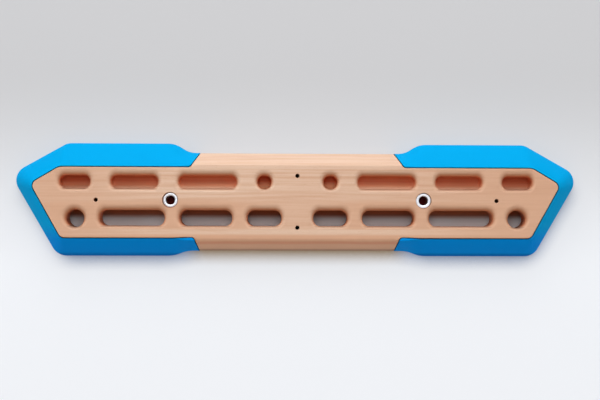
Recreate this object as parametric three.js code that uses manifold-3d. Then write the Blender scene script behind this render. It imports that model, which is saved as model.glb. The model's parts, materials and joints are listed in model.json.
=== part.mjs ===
// Climbing hangboard for a wall: a beech board with two rows of finger pockets, and a cast resin grip
// round each end, held from behind by wood screws through a flange that lies in a rebate of the board.
// Millimetres. X runs along the board, Z is up, the wall is the plane Y = 0 and the face looks to -Y.
// The origin is the middle of the back face, on the line of the two wall bolts.
import * as THREE from "three";
import { mergeVertices } from "three/addons/utils/BufferGeometryUtils.js";
import Module from "manifold-3d";

const wasm = await Module();
wasm.setup();

// Clearances
const FIT = 0.3; // between pieces that touch
const SEAM_GAP = 0.5; // open joint between wood and resin
const OVERRUN = 3; // how far a cutter runs past what it cuts

// Board
const BOARD_DEPTH = 45; // from the wall to the face

// Wall fixings
const BOLT_HOLE_R = 6.5;
const BUSH_BORE_R = 6;
const BUSH_WALL = 1.6;
const BUSH_LENGTH = 12; // sleeve behind the collar
const COLLAR_R = 10;
const COLLAR_THICKNESS = 2;
const COLLAR_BREAK = 0.4;
const COUNTERBORE_CLEARANCE = 0.6;
const COUNTERBORE_DEPTH = 8; // from the face to the seat of the collar
const SCREW_HOLE_R = 2.8;
const MIDDLE_HOLE_UP = 33.1; // the two screw holes in the middle, from the bolt line
const MIDDLE_HOLE_DOWN = 36.8;

// Finger pockets: webs and widths are those of the throats, from the middle of the board outward
const TOP_FIRST = 35.3;
const TOP_WEB = 28.2;
const TOP_WIDTHS = [18.3, 77.3, 62.4, 40.2];
const TOP_DEPTHS = [30, 22, 25, 28];
const TOP_HEIGHT = 18.6;
const TOP_CORNER = 8.4;
const TOP_LEDGE = 4.3; // from the counterbore up to the shelf of the row
const LOW_FIRST = 21.6;
const LOW_WEB = 20.4;
const LOW_WIDTHS = [45.8, 70, 86.9, 24];
const LOW_HEIGHT = 21.2;
const LOW_CORNER = 9.6;
const LOW_LEDGE = 3; // from the counterbore down to the row
const ROUND_POCKET_DROP = 2.1; // the outermost pocket of the lower row, a round one, sits this much lower
const MOUTH_ABOVE = 9; // roundings of every mouth
const MOUTH_SIDE = 5.5;
const ROUND_MOUTH_SIDE = 8; // of the round pocket
const MOUTH_BELOW = 4;
const FLOOR_ROUND = 4; // where wall and floor meet in a blind pocket
const BACK_BREAK = 1.2; // chamfers at the wall side

// Seam between wood and resin in the face, measured from the pockets it goes round
const MARGIN_ABOVE = 2;
const MARGIN_BELOW = 10;
const TOP_CORNER_MARGIN = 0.7;
const BOTTOM_CORNER_MARGIN = 7;
const TIP_REACH = 38.2; // from the upper corner out to the tip
const TIP_UP = 21.7; // height of the tip above the bolt line
const SEAM_CORNER_R = 19.5;
const SEAM_TIP_R = 8.8;
const SEAM_BOTTOM_R = 9.7;
const SEAM_END_R = 4;

// Bare middle of the board, and the ends of the grips' limbs beside it
const CORE_RISE = 19.8; // from the seam's height to the top of the wood
const CORE_DROP = 17.9;
const RIDGE_UP = 3; // how much further out than the seam the face reaches there
const RIDGE_DOWN = 3.3;
const TOP_LIMB_X = 143.8; // end of the upper limb in the face
const TOP_LIMB_LEAN = 12.3; // how far that end leans inward up the bevel
const BOTTOM_LIMB_X = 140.2;
const BOTTOM_LIMB_LEAN = 6.6;

// Sloping band that runs round the board, from the face to the rim
const BAND_ABOVE = 32.4; // widths seen from the front
const BAND_BELOW = 24.8;
const BAND_DEPTH = 28.5; // how far behind the face the rim starts
const BAND_CROWN = 1.3; // bulge of the band
const RIM_TOP_CORNER_IN = 7.5; // the rim's corners against the seam's
const RIM_TIP_OUT = 30.8;
const RIM_TIP_UP = 12.2;
const RIM_BOTTOM_CORNER_OUT = 7.9;
const RIM_CORNER_R = 21;
const RIM_TIP_R = 20.5;
const RIM_BOTTOM_R = 22;
const RIM_EDGE_R = 8; // between the band and the rim
const TOP_RISE_START = 4.5; // from a limb's end to where its rim begins to rise
const TOP_RISE = 40.5;
const BOTTOM_RISE_START = 7.4;
const BOTTOM_RISE = 36;

// Flange of a grip behind the wood, and its screws
const FLANGE_WIDTH = 11;
const FLANGE_THICKNESS = 8;
const FLANGE_START = 7; // beyond the limb's end
const FLANGE_BITE = 2; // how far it reaches into the grip's body
const HEAD_R = 4.5;
const HEAD_EDGE = 0.5;
const HEAD_SINK = 0.4;
const SHANK_R = 2;
const SCREW_LENGTH = 24;
const SCREW_POINT = 4;
const DRIVE_R = 2.1; // six-lobed recess
const DRIVE_WAIST_R = 1.5;
const DRIVE_DEPTH = 1.6;

// Fineness
const ARC_STEPS = 5;
const POCKET_STEPS = 4;
const CURVE_STEPS = 8;
const BAND_STEPS = 4;
const EDGE_STEPS = 3;
const MOUTH_ANGLES = [90, 60, 35, 15, 0];
const FLOOR_ANGLES = [0, 45, 90];
const BOLT_SEGMENTS = 28;
const HOLE_SEGMENTS = 14;
const DRIVE_LOBES = 6;
const ARC_LIMIT_SHARE = 0.49; // the most of a side that one corner's rounding takes

const BEECH = { color: 0xdcb496, roughness: 0.6, metalness: 0 };
const RESIN = { color: 0x06a8ea, roughness: 0.5, metalness: 0 };
const STEEL = { color: 0xd9dce0, roughness: 0.25, metalness: 1 };

const at = (x, z) => new THREE.Vector2(x, z);
const corner = (x, z, round = 0) => ({ point: at(x, z), round });

// The pockets of one row from the middle outward, each with its two ends
function rowOf(first, web, widths) {
  let edge = first;
  return widths.map((width) => {
    const pocket = { left: edge, right: edge + width, width };
    edge += width + web;
    return pocket;
  });
}

const COUNTERBORE_R = COLLAR_R + COUNTERBORE_CLEARANCE;
const TOP_SHELF = COUNTERBORE_R + TOP_LEDGE;
const LOW_CEILING = -COUNTERBORE_R - LOW_LEDGE;
const TOP_ROW = rowOf(TOP_FIRST, TOP_WEB, TOP_WIDTHS).map((pocket, i) => ({
  ...pocket,
  low: TOP_SHELF,
  high: TOP_SHELF + TOP_HEIGHT,
  round: TOP_CORNER,
  beside: MOUTH_SIDE,
  depth: TOP_DEPTHS[i],
}));
const LOW_ROW = rowOf(LOW_FIRST, LOW_WEB, LOW_WIDTHS).map((pocket) => ({
  ...pocket,
  low: LOW_CEILING - LOW_HEIGHT,
  high: LOW_CEILING,
  round: LOW_CORNER,
  beside: MOUTH_SIDE,
}));
const ROUND_POCKET = LOW_ROW.at(-1);
ROUND_POCKET.low = LOW_CEILING - LOW_HEIGHT - ROUND_POCKET_DROP;
ROUND_POCKET.high = ROUND_POCKET.low + ROUND_POCKET.width;
ROUND_POCKET.round = ROUND_POCKET.width / 2;
ROUND_POCKET.beside = ROUND_MOUTH_SIDE;

// The middle of the web that follows a pocket
const webAfter = (row, i) => (row[i].right + row[i + 1].left) / 2;

const SEAM_TOP = TOP_SHELF + TOP_HEIGHT + MOUTH_ABOVE + MARGIN_ABOVE;
const SEAM_BOTTOM = ROUND_POCKET.low - MOUTH_BELOW - MARGIN_BELOW;
const SEAM_CORNER = corner(TOP_ROW.at(-1).right + TOP_CORNER_MARGIN, SEAM_TOP, SEAM_CORNER_R);
const SEAM_TIP = corner(SEAM_CORNER.point.x + TIP_REACH, TIP_UP, SEAM_TIP_R);
const SEAM_FOOT = corner(ROUND_POCKET.right + BOTTOM_CORNER_MARGIN, SEAM_BOTTOM, SEAM_BOTTOM_R);
const SEAM = [SEAM_CORNER, SEAM_TIP, SEAM_FOOT];
const RIM_TOP = SEAM_TOP + BAND_ABOVE;
const RIM_BOTTOM = SEAM_BOTTOM - BAND_BELOW;
const RIM_TIP_X = SEAM_TIP.point.x + RIM_TIP_OUT;
const RIM = [
  corner(SEAM_CORNER.point.x - RIM_TOP_CORNER_IN, RIM_TOP, RIM_CORNER_R),
  corner(RIM_TIP_X, TIP_UP + RIM_TIP_UP, RIM_TIP_R),
  corner(SEAM_FOOT.point.x + RIM_BOTTOM_CORNER_OUT, RIM_BOTTOM, RIM_BOTTOM_R),
];
const CORE_TOP = SEAM_TOP + CORE_RISE;
const CORE_BOTTOM = SEAM_BOTTOM - CORE_DROP;

// Two bolts and two screws stand on the bolt line, between the webs of the two rows
const BOLT_X = (webAfter(TOP_ROW, 1) + webAfter(LOW_ROW, 1)) / 2;
const END_HOLE_X = (webAfter(TOP_ROW, 2) + webAfter(LOW_ROW, 2)) / 2;

// The same corners on the other end of the board, in the order that closes the outline
const mirrored = (corners) => corners.map(({ point, round }) => corner(-point.x, point.y, round)).reverse();

// A closed outline through corners, each rounded by an arc
function rounded(corners, steps = ARC_STEPS) {
  return corners.flatMap(({ point, round }, i) => {
    if (round <= 0) return [point.clone()];
    const before = corners.at(i - 1).point.clone().sub(point);
    const after = corners[(i + 1) % corners.length].point.clone().sub(point);
    const half = before.angleTo(after) / 2;
    const shorter = Math.min(before.length(), after.length());
    const reach = Math.min(round / Math.tan(half), shorter * ARC_LIMIT_SHARE);
    const start = point.clone().addScaledVector(before.normalize(), reach);
    const end = point.clone().addScaledVector(after.normalize(), reach);
    const radius = reach * Math.tan(half);
    const inward = before.clone().add(after).normalize();
    const centre = point.clone().addScaledVector(inward, radius / Math.sin(half));
    const first = start.sub(centre).angle();
    const whole = end.sub(centre).angle() - first;
    const turn = Math.atan2(Math.sin(whole), Math.cos(whole));
    return Array.from({ length: steps + 1 }, (_, k) => {
      const angle = first + (turn * k) / steps;
      return at(centre.x + radius * Math.cos(angle), centre.y + radius * Math.sin(angle));
    });
  });
}

// A clockwise outline with every side moved outward, its roundings kept concentric
function inflated(corners, distance) {
  const normal = (a, b) => at(a.y - b.y, b.x - a.x).normalize();
  return corners.map(({ point, round }, i) => {
    const before = normal(corners.at(i - 1).point, point);
    const after = normal(point, corners[(i + 1) % corners.length].point);
    const shift = before.clone().add(after).multiplyScalar(distance / (1 + before.dot(after)));
    const bend = before.cross(after) < 0 ? distance : -distance;
    return { point: point.clone().add(shift), round: round ? Math.max(round + bend, 0) : 0 };
  });
}

// A closed geometry as a solid, its vertices merged and its faces turned outward
function solidOf(geometry) {
  const bare = geometry.clone();
  bare.deleteAttribute("normal");
  bare.deleteAttribute("uv");
  const merged = mergeVertices(bare);
  const vertProperties = merged.attributes.position.array;
  const triangles = new Uint32Array(merged.index.array);
  const solid = new wasm.Manifold(new wasm.Mesh({ numProp: 3, vertProperties, triVerts: triangles }));
  if (solid.volume() > 0) return solid;
  return new wasm.Manifold(new wasm.Mesh({ numProp: 3, vertProperties, triVerts: triangles.reverse() }));
}

// A solid as a named mesh
function meshOf(name, solid, finish) {
  const { vertProperties, triVerts } = solid.getMesh();
  const geometry = new THREE.BufferGeometry();
  geometry.setAttribute("position", new THREE.BufferAttribute(vertProperties, 3));
  geometry.setIndex(new THREE.BufferAttribute(triVerts, 1));
  geometry.computeVertexNormals();
  const mesh = new THREE.Mesh(geometry, new THREE.MeshStandardMaterial({ ...finish, flatShading: true }));
  mesh.name = name;
  return mesh;
}

// A closed skin over loops of equal length, each an outline at its own Y, with a fan over each end
function skin(loops) {
  const count = loops[0].outline.length;
  const last = (loops.length - 1) * count;
  const hub = ({ outline, y }) => {
    const middle = outline.reduce((sum, p) => sum.add(p), at(0, 0)).divideScalar(count);
    return [middle.x, y, middle.y];
  };
  const rings = loops.flatMap(({ outline, y }) => outline.flatMap((p) => [p.x, y, p.y]));
  const positions = [...rings, ...hub(loops[0]), ...hub(loops.at(-1))];
  const index = [];
  for (let base = 0; base < last; base += count) {
    for (let i = 0; i < count; i += 1) {
      const a = base + i;
      const b = base + ((i + 1) % count);
      index.push(a, b, a + count, b, b + count, a + count);
    }
  }
  const firstHub = last + count;
  for (let i = 0; i < count; i += 1) {
    const next = (i + 1) % count;
    index.push(firstHub, next, i, firstHub + 1, last + i, last + next);
  }
  const geometry = new THREE.BufferGeometry();
  geometry.setAttribute("position", new THREE.Float32BufferAttribute(positions, 3));
  geometry.setIndex(index);
  return solidOf(geometry);
}

// A prism of an outline, between two depths behind the wall plane
function prism(outline, back, front) {
  const settings = { depth: back - front, bevelEnabled: false };
  const geometry = new THREE.ExtrudeGeometry(new THREE.Shape(outline), settings);
  return solidOf(geometry.rotateX(Math.PI / 2).translate(0, back, 0));
}

// A turned solid square to the wall, from a profile of radius and Y
function turned(profile, place, segments) {
  const points = profile.map(([radius, y]) => new THREE.Vector2(radius, y));
  return solidOf(new THREE.LatheGeometry(points, segments).translate(place.x, 0, place.y));
}

// A round hole between two values of Y
const hole = (place, radius, back, front, segments) =>
  turned([[0, back], [radius, back], [radius, front], [0, front]], place, segments);

// Section of the band: how far out it is, as a share of its width, at each depth behind the face
function bandProfile() {
  const face = at(0, 0);
  const edge = at(BAND_ABOVE, BAND_DEPTH);
  const along = edge.clone().normalize();
  const reach = RIM_EDGE_R * Math.tan(at(0, 1).angleTo(along) / 2);
  const bandEnd = edge.clone().addScaledVector(along, -reach);
  const rimStart = edge.clone().add(at(0, reach));
  const bulge = at(along.y, -along.x).multiplyScalar(2 * BAND_CROWN);
  const pull = bandEnd.clone().multiplyScalar(1 / 2).add(bulge);
  const band = new THREE.QuadraticBezierCurve(face, pull, bandEnd).getPoints(BAND_STEPS);
  const rim = new THREE.QuadraticBezierCurve(bandEnd, edge, rimStart).getPoints(EDGE_STEPS).slice(1);
  const back = [at(BAND_ABOVE, BOARD_DEPTH - BACK_BREAK), at(BAND_ABOVE - BACK_BREAK, BOARD_DEPTH)];
  return [...band, ...rim, ...back];
}

// Where the outline rises from the bare wood to a limb, seen from the front at a share of the band.
// Core and limb are each a pair of heights: at the face and at the rim.
function rise(start, length, core, limb, share) {
  const half = start + length / 2;
  const low = THREE.MathUtils.lerp(...core, share);
  const high = THREE.MathUtils.lerp(...limb, share);
  const points = [at(start, low), at(half, low), at(half, high), at(start + length, high)];
  return new THREE.CubicBezierCurve(...points).getPoints(CURVE_STEPS).map((p) => corner(p.x, p.y));
}

// The whole outside of the board with both grips, before the parts are cut apart
function hull() {
  const topStart = TOP_LIMB_X - TOP_LIMB_LEAN + TOP_RISE_START;
  const bottomStart = BOTTOM_LIMB_X - BOTTOM_LIMB_LEAN + BOTTOM_RISE_START;
  const coreTop = [SEAM_TOP + RIDGE_UP, CORE_TOP];
  const coreBottom = [SEAM_BOTTOM - RIDGE_DOWN, CORE_BOTTOM];
  const limbTop = [SEAM_TOP, RIM_TOP];
  const limbBottom = [SEAM_BOTTOM, RIM_BOTTOM];
  return skin(bandProfile().map(({ x: out, y: depth }) => {
    const share = out / BAND_ABOVE;
    const corners = SEAM.map((seam, i) => ({
      point: seam.point.clone().lerp(RIM[i].point, share),
      round: THREE.MathUtils.lerp(seam.round, RIM[i].round, share),
    }));
    const right = [
      ...rise(topStart, TOP_RISE, coreTop, limbTop, share),
      ...corners,
      ...rise(bottomStart, BOTTOM_RISE, coreBottom, limbBottom, share).reverse(),
    ];
    return { outline: rounded([...right, ...mirrored(right)]), y: depth - BOARD_DEPTH };
  }));
}

// Outline of the wood, clockwise from the top
function woodOutline() {
  const right = [
    corner(TOP_LIMB_X - TOP_LIMB_LEAN, CORE_TOP),
    corner(TOP_LIMB_X, SEAM_TOP, SEAM_END_R),
    ...SEAM,
    corner(BOTTOM_LIMB_X, SEAM_BOTTOM, SEAM_END_R),
    corner(BOTTOM_LIMB_X - BOTTOM_LIMB_LEAN, CORE_BOTTOM),
  ];
  return [...right, ...mirrored(right)];
}

// The band round the right tongue between two offsets of the seam, beginning at one X
function frameOutline(start, outside, inside) {
  const tongue = [corner(start, SEAM_TOP), ...SEAM, corner(start, SEAM_BOTTOM)];
  const path = (distance) => inflated(tongue, distance).map(({ point, round }, i) =>
    corner(i % (tongue.length - 1) === 0 ? start : point.x, point.y, round));
  return rounded([...path(outside), ...path(-inside).reverse()]);
}

const FLANGE_X = TOP_LIMB_X + FLANGE_START;
const FRONT = -BOARD_DEPTH - OVERRUN;

// An outline of the right end moved to the end that is asked for
const onSide = (outline, side) => outline.map((p) => at(p.x * side, p.y));

// Rounding of a mouth: how far it stands out at a depth behind the face
function flare(radius, depth) {
  const left = Math.max(radius - depth, 0);
  return radius - Math.sqrt(radius ** 2 - left ** 2);
}

// Outline of a pocket grown by its flares
function pocketOutline(pocket, side, above, beside, below) {
  const corners = [
    [pocket.left - beside, pocket.high + above],
    [pocket.right + beside, pocket.high + above],
    [pocket.right + beside, pocket.low - below],
    [pocket.left - beside, pocket.low - below],
  ].map(([x, z]) => corner(x, z, pocket.round + beside));
  return onSide(rounded(corners, POCKET_STEPS), side);
}

// Cutter of a pocket: rounded mouth, straight throat, then a rounded floor or a chamfer at the back
function pocketCutter(pocket, side) {
  const loop = (y, above, beside = above, below = above) =>
    ({ y, outline: pocketOutline(pocket, side, above, beside, below) });
  const mouth = MOUTH_ANGLES.map((angle) => {
    const depth = MOUTH_ABOVE * (1 - Math.sin(THREE.MathUtils.degToRad(angle)));
    const flares = [MOUTH_ABOVE, pocket.beside, MOUTH_BELOW].map((radius) => flare(radius, depth));
    return loop(depth - BOARD_DEPTH, ...flares);
  });
  const front = loop(FRONT, MOUTH_ABOVE, pocket.beside, MOUTH_BELOW);
  if (!pocket.depth) {
    return skin([front, ...mouth, loop(-BACK_BREAK, 0), loop(0, BACK_BREAK), loop(OVERRUN, BACK_BREAK)]);
  }
  const floor = FLOOR_ANGLES.map(THREE.MathUtils.degToRad).map((angle) => {
    const depth = pocket.depth - FLOOR_ROUND * (1 - Math.sin(angle));
    return loop(depth - BOARD_DEPTH, FLOOR_ROUND * (Math.cos(angle) - 1));
  });
  return skin([front, ...mouth, ...floor]);
}

// Where the screws of the right grip stand, in the middle of its flange
function screwPlaces() {
  const inset = FLANGE_WIDTH / 2;
  const onSlant = (a, b) => {
    const along = b.point.clone().sub(a.point).normalize();
    const middle = a.point.clone().add(b.point).multiplyScalar(1 / 2);
    return middle.addScaledVector(at(along.y, -along.x), inset);
  };
  return [
    at(webAfter(TOP_ROW, 1), SEAM_TOP - inset),
    at(webAfter(TOP_ROW, 2), SEAM_TOP - inset),
    onSlant(SEAM_CORNER, SEAM_TIP),
    onSlant(SEAM_TIP, SEAM_FOOT),
    at(webAfter(LOW_ROW, 2), SEAM_BOTTOM + inset),
    at(webAfter(LOW_ROW, 1), SEAM_BOTTOM + inset),
  ];
}

const HEAD_FLOOR = -HEAD_SINK - HEAD_EDGE;
const HEAD_END = HEAD_FLOOR - (HEAD_R - SHANK_R);
const SCREW_END = -HEAD_SINK - SCREW_LENGTH;

// Countersunk hole through a flange
function countersink(place) {
  const wide = HEAD_R + FIT;
  const narrow = SHANK_R + FIT;
  const end = -FLANGE_THICKNESS - OVERRUN;
  const head = [[0, OVERRUN], [wide, OVERRUN], [wide, HEAD_FLOOR]];
  return turned([...head, [narrow, HEAD_END], [narrow, end], [0, end]], place, HOLE_SEGMENTS);
}

// Countersunk wood screw with a six-lobed recess
function screw(place) {
  const body = turned([
    [0, -HEAD_SINK], [HEAD_R, -HEAD_SINK], [HEAD_R, HEAD_FLOOR], [SHANK_R, HEAD_END],
    [SHANK_R, SCREW_END + SCREW_POINT], [0, SCREW_END],
  ], place, HOLE_SEGMENTS);
  const lobes = Array.from({ length: 2 * DRIVE_LOBES }, (_, i) => {
    const angle = (Math.PI * i) / DRIVE_LOBES;
    const radius = i % 2 ? DRIVE_WAIST_R : DRIVE_R;
    return at(place.x + radius * Math.cos(angle), place.y + radius * Math.sin(angle));
  });
  return body.subtract(prism(lobes, OVERRUN, -HEAD_SINK - DRIVE_DEPTH));
}

const SEAT = COUNTERBORE_DEPTH - BOARD_DEPTH;

// Steel bush: a collar in the counterbore and a sleeve behind it
function bush(place) {
  const collarBack = SEAT - FIT;
  const collarFront = collarBack - COLLAR_THICKNESS;
  const sleeveR = BUSH_BORE_R + BUSH_WALL;
  const sleeveBack = collarBack + BUSH_LENGTH;
  return turned([
    [BUSH_BORE_R, collarFront + COLLAR_BREAK], [BUSH_BORE_R + COLLAR_BREAK, collarFront],
    [COLLAR_R - COLLAR_BREAK, collarFront], [COLLAR_R, collarFront + COLLAR_BREAK], [COLLAR_R, collarBack],
    [sleeveR, collarBack], [sleeveR, sleeveBack], [BUSH_BORE_R, sleeveBack],
    [BUSH_BORE_R, collarFront + COLLAR_BREAK],
  ], place, BOLT_SEGMENTS);
}

// Stepped hole for a bush and its bolt
function boltHole(place) {
  const sleeveR = BUSH_BORE_R + BUSH_WALL + FIT;
  return [
    hole(place, COUNTERBORE_R, SEAT, FRONT, BOLT_SEGMENTS),
    hole(place, sleeveR, SEAT + BUSH_LENGTH, FRONT, BOLT_SEGMENTS),
    hole(place, BOLT_HOLE_R, OVERRUN, FRONT, BOLT_SEGMENTS),
  ];
}

// The board with everything cut into it
function board(outside) {
  const rebate = frameOutline(FLANGE_X - FIT, OVERRUN, FLANGE_WIDTH + FIT);
  const cutters = [1, -1].flatMap((side) => [
    prism(onSide(rebate, side), OVERRUN, -FLANGE_THICKNESS - FIT),
    ...[...TOP_ROW, ...LOW_ROW].map((pocket) => pocketCutter(pocket, side)),
    ...boltHole(at(BOLT_X * side, 0)),
    hole(at(END_HOLE_X * side, 0), SCREW_HOLE_R, OVERRUN, FRONT, HOLE_SEGMENTS),
    ...onSide(screwPlaces(), side).map((place) =>
      hole(place, SHANK_R + FIT, OVERRUN, SCREW_END - FIT, HOLE_SEGMENTS)),
  ]);
  const middle = [MIDDLE_HOLE_UP, -MIDDLE_HOLE_DOWN].map((z) =>
    hole(at(0, z), SCREW_HOLE_R, OVERRUN, FRONT, HOLE_SEGMENTS));
  const blank = outside.intersect(prism(rounded(woodOutline()), OVERRUN, FRONT));
  return [...cutters, ...middle].reduce((solid, cutter) => solid.subtract(cutter), blank);
}

// One grip: the outside round a tongue, with the flange and its countersunk holes
function grip(outside, side) {
  const flange = frameOutline(FLANGE_X, SEAM_GAP + FLANGE_BITE, FLANGE_WIDTH);
  const far = RIM_TIP_X + OVERRUN;
  const half = [at(0, far), at(far, far), at(far, -far), at(0, -far)];
  const body = outside.intersect(prism(onSide(half, side), OVERRUN, FRONT))
    .subtract(prism(rounded(inflated(woodOutline(), SEAM_GAP)), OVERRUN, FRONT))
    .add(prism(onSide(flange, side), 0, -FLANGE_THICKNESS));
  return onSide(screwPlaces(), side).reduce((solid, place) => solid.subtract(countersink(place)), body);
}

const outside = hull();
const hangboard = new THREE.Group();
hangboard.add(meshOf("wood_board", board(outside), BEECH));
for (const [word, side] of [["right", 1], ["left", -1]]) {
  const end = new THREE.Group();
  end.add(meshOf(`${word}_grip`, grip(outside, side), RESIN));
  end.add(meshOf(`${word}_bush`, bush(at(BOLT_X * side, 0)), STEEL));
  onSide(screwPlaces(), side).forEach((place, i) => {
    end.add(meshOf(`${word}_grip_screw_${i + 1}`, screw(place), STEEL));
  });
  hangboard.add(end);
}

export default hangboard;
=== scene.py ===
"""Climbing hangboard: a beech board with two rows of finger pockets and a cast resin grip round each end.

Everything is in metres. X runs along the board, Z is up, the wall is the plane Y = 0 and the face
looks to -Y.
"""

import json
import math

import bmesh
import bpy
from mathutils import Matrix, Vector


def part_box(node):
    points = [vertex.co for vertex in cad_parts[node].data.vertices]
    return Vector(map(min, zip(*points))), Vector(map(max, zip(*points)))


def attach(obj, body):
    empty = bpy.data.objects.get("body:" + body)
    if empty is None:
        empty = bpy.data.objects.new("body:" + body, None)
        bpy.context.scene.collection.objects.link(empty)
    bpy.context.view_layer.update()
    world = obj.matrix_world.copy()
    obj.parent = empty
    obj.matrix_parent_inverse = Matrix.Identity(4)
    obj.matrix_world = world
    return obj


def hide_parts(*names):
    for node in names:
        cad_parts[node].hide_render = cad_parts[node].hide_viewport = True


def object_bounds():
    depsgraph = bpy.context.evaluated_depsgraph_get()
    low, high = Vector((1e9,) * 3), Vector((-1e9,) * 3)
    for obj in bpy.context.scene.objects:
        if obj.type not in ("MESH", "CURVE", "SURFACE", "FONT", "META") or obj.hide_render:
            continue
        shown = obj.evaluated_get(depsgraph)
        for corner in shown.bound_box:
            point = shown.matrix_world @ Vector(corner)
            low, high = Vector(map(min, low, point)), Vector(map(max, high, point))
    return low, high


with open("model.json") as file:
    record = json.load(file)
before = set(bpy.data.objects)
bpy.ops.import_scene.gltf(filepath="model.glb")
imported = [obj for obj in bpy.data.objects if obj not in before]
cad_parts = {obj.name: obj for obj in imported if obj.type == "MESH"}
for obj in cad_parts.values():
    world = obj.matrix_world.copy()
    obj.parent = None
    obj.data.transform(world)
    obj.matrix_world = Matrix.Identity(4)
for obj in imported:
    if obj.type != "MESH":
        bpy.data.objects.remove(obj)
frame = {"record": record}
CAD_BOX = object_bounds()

bl_info = {
    "name": "Climbing hangboard",
    "version": (1, 0, 0),
    "blender": (4, 5, 0),
    "location": "View3D > Sidebar > Hangboard",
    "description": "Builds the wood, the resin grips and the fixings of a hangboard, and its stage",
    "category": "Add Mesh",
}

MM = 0.001
BODY = "root"
BOARD_DEPTH = -CAD_BOX[0][1]

# Fineness of the meshes
ARC_STEPS = 14
POCKET_STEPS = 12
MOUTH_STEPS = 10
FLOOR_STEPS = 6
BAND_STEPS = 12
RIM_EDGE_STEPS = 8
RISE_STEPS = 28
RIDGE_STEPS = 10
EDGE_STEPS = 4
THROAT_STEPS = 8
RING_SEGMENTS = 96
HOLE_SEGMENTS = 48
ARC_LIMIT = 0.49  # the most of a side that one corner's rounding takes
PLATE_SHARE = 0.4999  # the most of a side that one corner of a pocket's plate takes
LOBES = 6  # of the recess in a screw's head

OVERRUN = 3 * MM  # how far a cutter runs past what it cuts
FRONT = -BOARD_DEPTH - OVERRUN
WELD = 1e-6  # points closer than this become one
SMOOTH_LIMIT = math.radians(32)  # an edge that turns more than this stays sharp
BOTH_ENDS = (1, -1)  # right and left
GRIP_SCREWS = 6

# How far the CAD's opening boxes lie inside the pockets
OPENING_INSET = 1 * MM  # above and below
OPENING_MARGIN = 0.2 * MM  # beside, from the arcs of the corners
OPENING_FLOOR = 1.6 * MM  # before the floor of a blind pocket

# Shares of the screws' sizes
GROOVE_START_SHARE = 0.6  # of the pitch, from where the thread's groove begins to the next crest
GROOVE_END_SHARE = 0.24  # of the pitch, from where it ends to that crest
DRIVE_FLOOR_SHARE = 0.86  # width of the recess at its floor
DRIVE_WALL_SHARE = 0.8  # depth of the recess's straight wall

# The stage, in metres
WALL_WIDTH = 8.0
WALL_HEIGHT = 5.0
FLOOR_LEVEL = -1.6
NEAREST = 0.05  # what the camera still sees
FARTHEST = 50.0
SENSOR_WIDTH = 36.0  # in millimetres


# Tones

def band(start, fade):
    """Where a tone starts to change, and over which distance, from millimetres"""
    return start * MM, fade * MM


# Heights in millimetres and the colours there, in the wood inside the pockets and on the wall behind them:
# painted shade high in the pockets and along the through pockets' lower lips, painted light and glow below
# the shade
POCKET_TONES = (
    (-40, "wood_low"), (-37, "wood_dark"), (-33, "wood_cut"), (-13.5, "wood_cut"), (-8, "wood_glow"),
    (-4, "wood_low"), (14.5, "wood_low"), (16.5, "wood_routed"), (20.5, "wood_glow"), (26.5, "wood_shaded"),
    (31.5, "wood_shaded"), (35, "wood_glow"), (39.5, "wood_low"),
)
# painted shade and light on the wall behind the through pockets: lightest low, darkest at their top
WALL_TONES = ((-33, "wall_seen"), (-24.9, "wall_dim"), (-19.5, "wall_dark"), (-16.5, "wall_hidden"))

# Along Z
ROW_SHADE_TOP = band(6, 12)  # painted shade on the wood between the rows of pockets
ROW_SHADE_FOOT = band(-37, 4)
# painted shade on the low part of the face and the lower bevel
LOW_EDGE_SHADE = band(-43.5, 5)
# painted shade along the lower rim, which faces down
DARK_RIM = band(-64.5, 3.5)
ROWS = band(41, 3)  # both rows of pockets lie closer to the bolt line
UPPER_ROW = band(10, 2)
# painted shade along the pockets' lower lips: upper row, then lower row
UPPER_LIP = band(16.5, 1.5)
LOWER_LIP = band(-34, 1.5)
# painted light low in the narrow pockets near the middle, up to this height
ROUND_GLOW = band(26, 9)
# painted shade on the resin's lower limbs, which face down
RESIN_LOW = band(-30, 30)
# painted shade along the resin's lower rim
RESIN_RIM_SHADE = band(-70, 4)
WALL_FADE = band(185, 300)
WALL_ROWS = band(48, 2)

# Along X
# the painted shade between the rows grows away from the middle; the wood also turns darker in the same tone
# towards each end
ROW_SHADE_MIDDLE = band(0, 100)
WARM_RIGHT = band(50, 280)
WARM_LEFT = band(-150, 180)
ROUND_POCKETS = band(62, 2)
WALL_POCKETS = band(325, 2)
RESIN_SHADE = band(125, 35)

# Behind the face, and before the wall
INSIDE = band(0.2, 3.8)
MOUTH = band(3, 5)
LIP = band(0.1, 1.3)
BACK_EDGE = band(-1.4, 1)

# From the middle of a bolt, for the painted shade on the wall behind its bore
BOLT_SHADE = band(7.5, 1)

# From the dark line along the lower bevel
LINE_HEIGHT = -57.2 * MM
LINE_WANDER = 6 * MM
LINE = band(0.4, 2.6)

# The middle of the tree, from the bolt line at the wall, and how far the growth rings sway and ripple
PITH_BELOW = 12 * MM
PITH_BEHIND = 62 * MM
RING_SWAY = 45 * MM
RING_SWAY_DEEP = 20 * MM
RING_RIPPLE = 1.6 * MM

# The painted shadow under the board: the side that its light would come from, how fast it fades, how strong
# it is
SHADE_FROM = (-0.30, -0.42, 0.86)
SHADE_FALL = 2.4
SHADE_STRENGTH = 4.2

TARNISH = 0.80  # how much light tarnished metal keeps

# Depth of the surfaces' relief, and how far the shading rounds off sharp edges
GRAIN_RELIEF = 0.3 * MM
WOOD_SOFTNESS = 0.7 * MM
RESIN_RELIEF = 0.4 * MM
RESIN_SOFTNESS = 1 * MM
LATHE_RELIEF = (0.12, 0.1 * MM)  # strength first
NAP_RELIEF = (0.05, 0.2 * MM)

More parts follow.
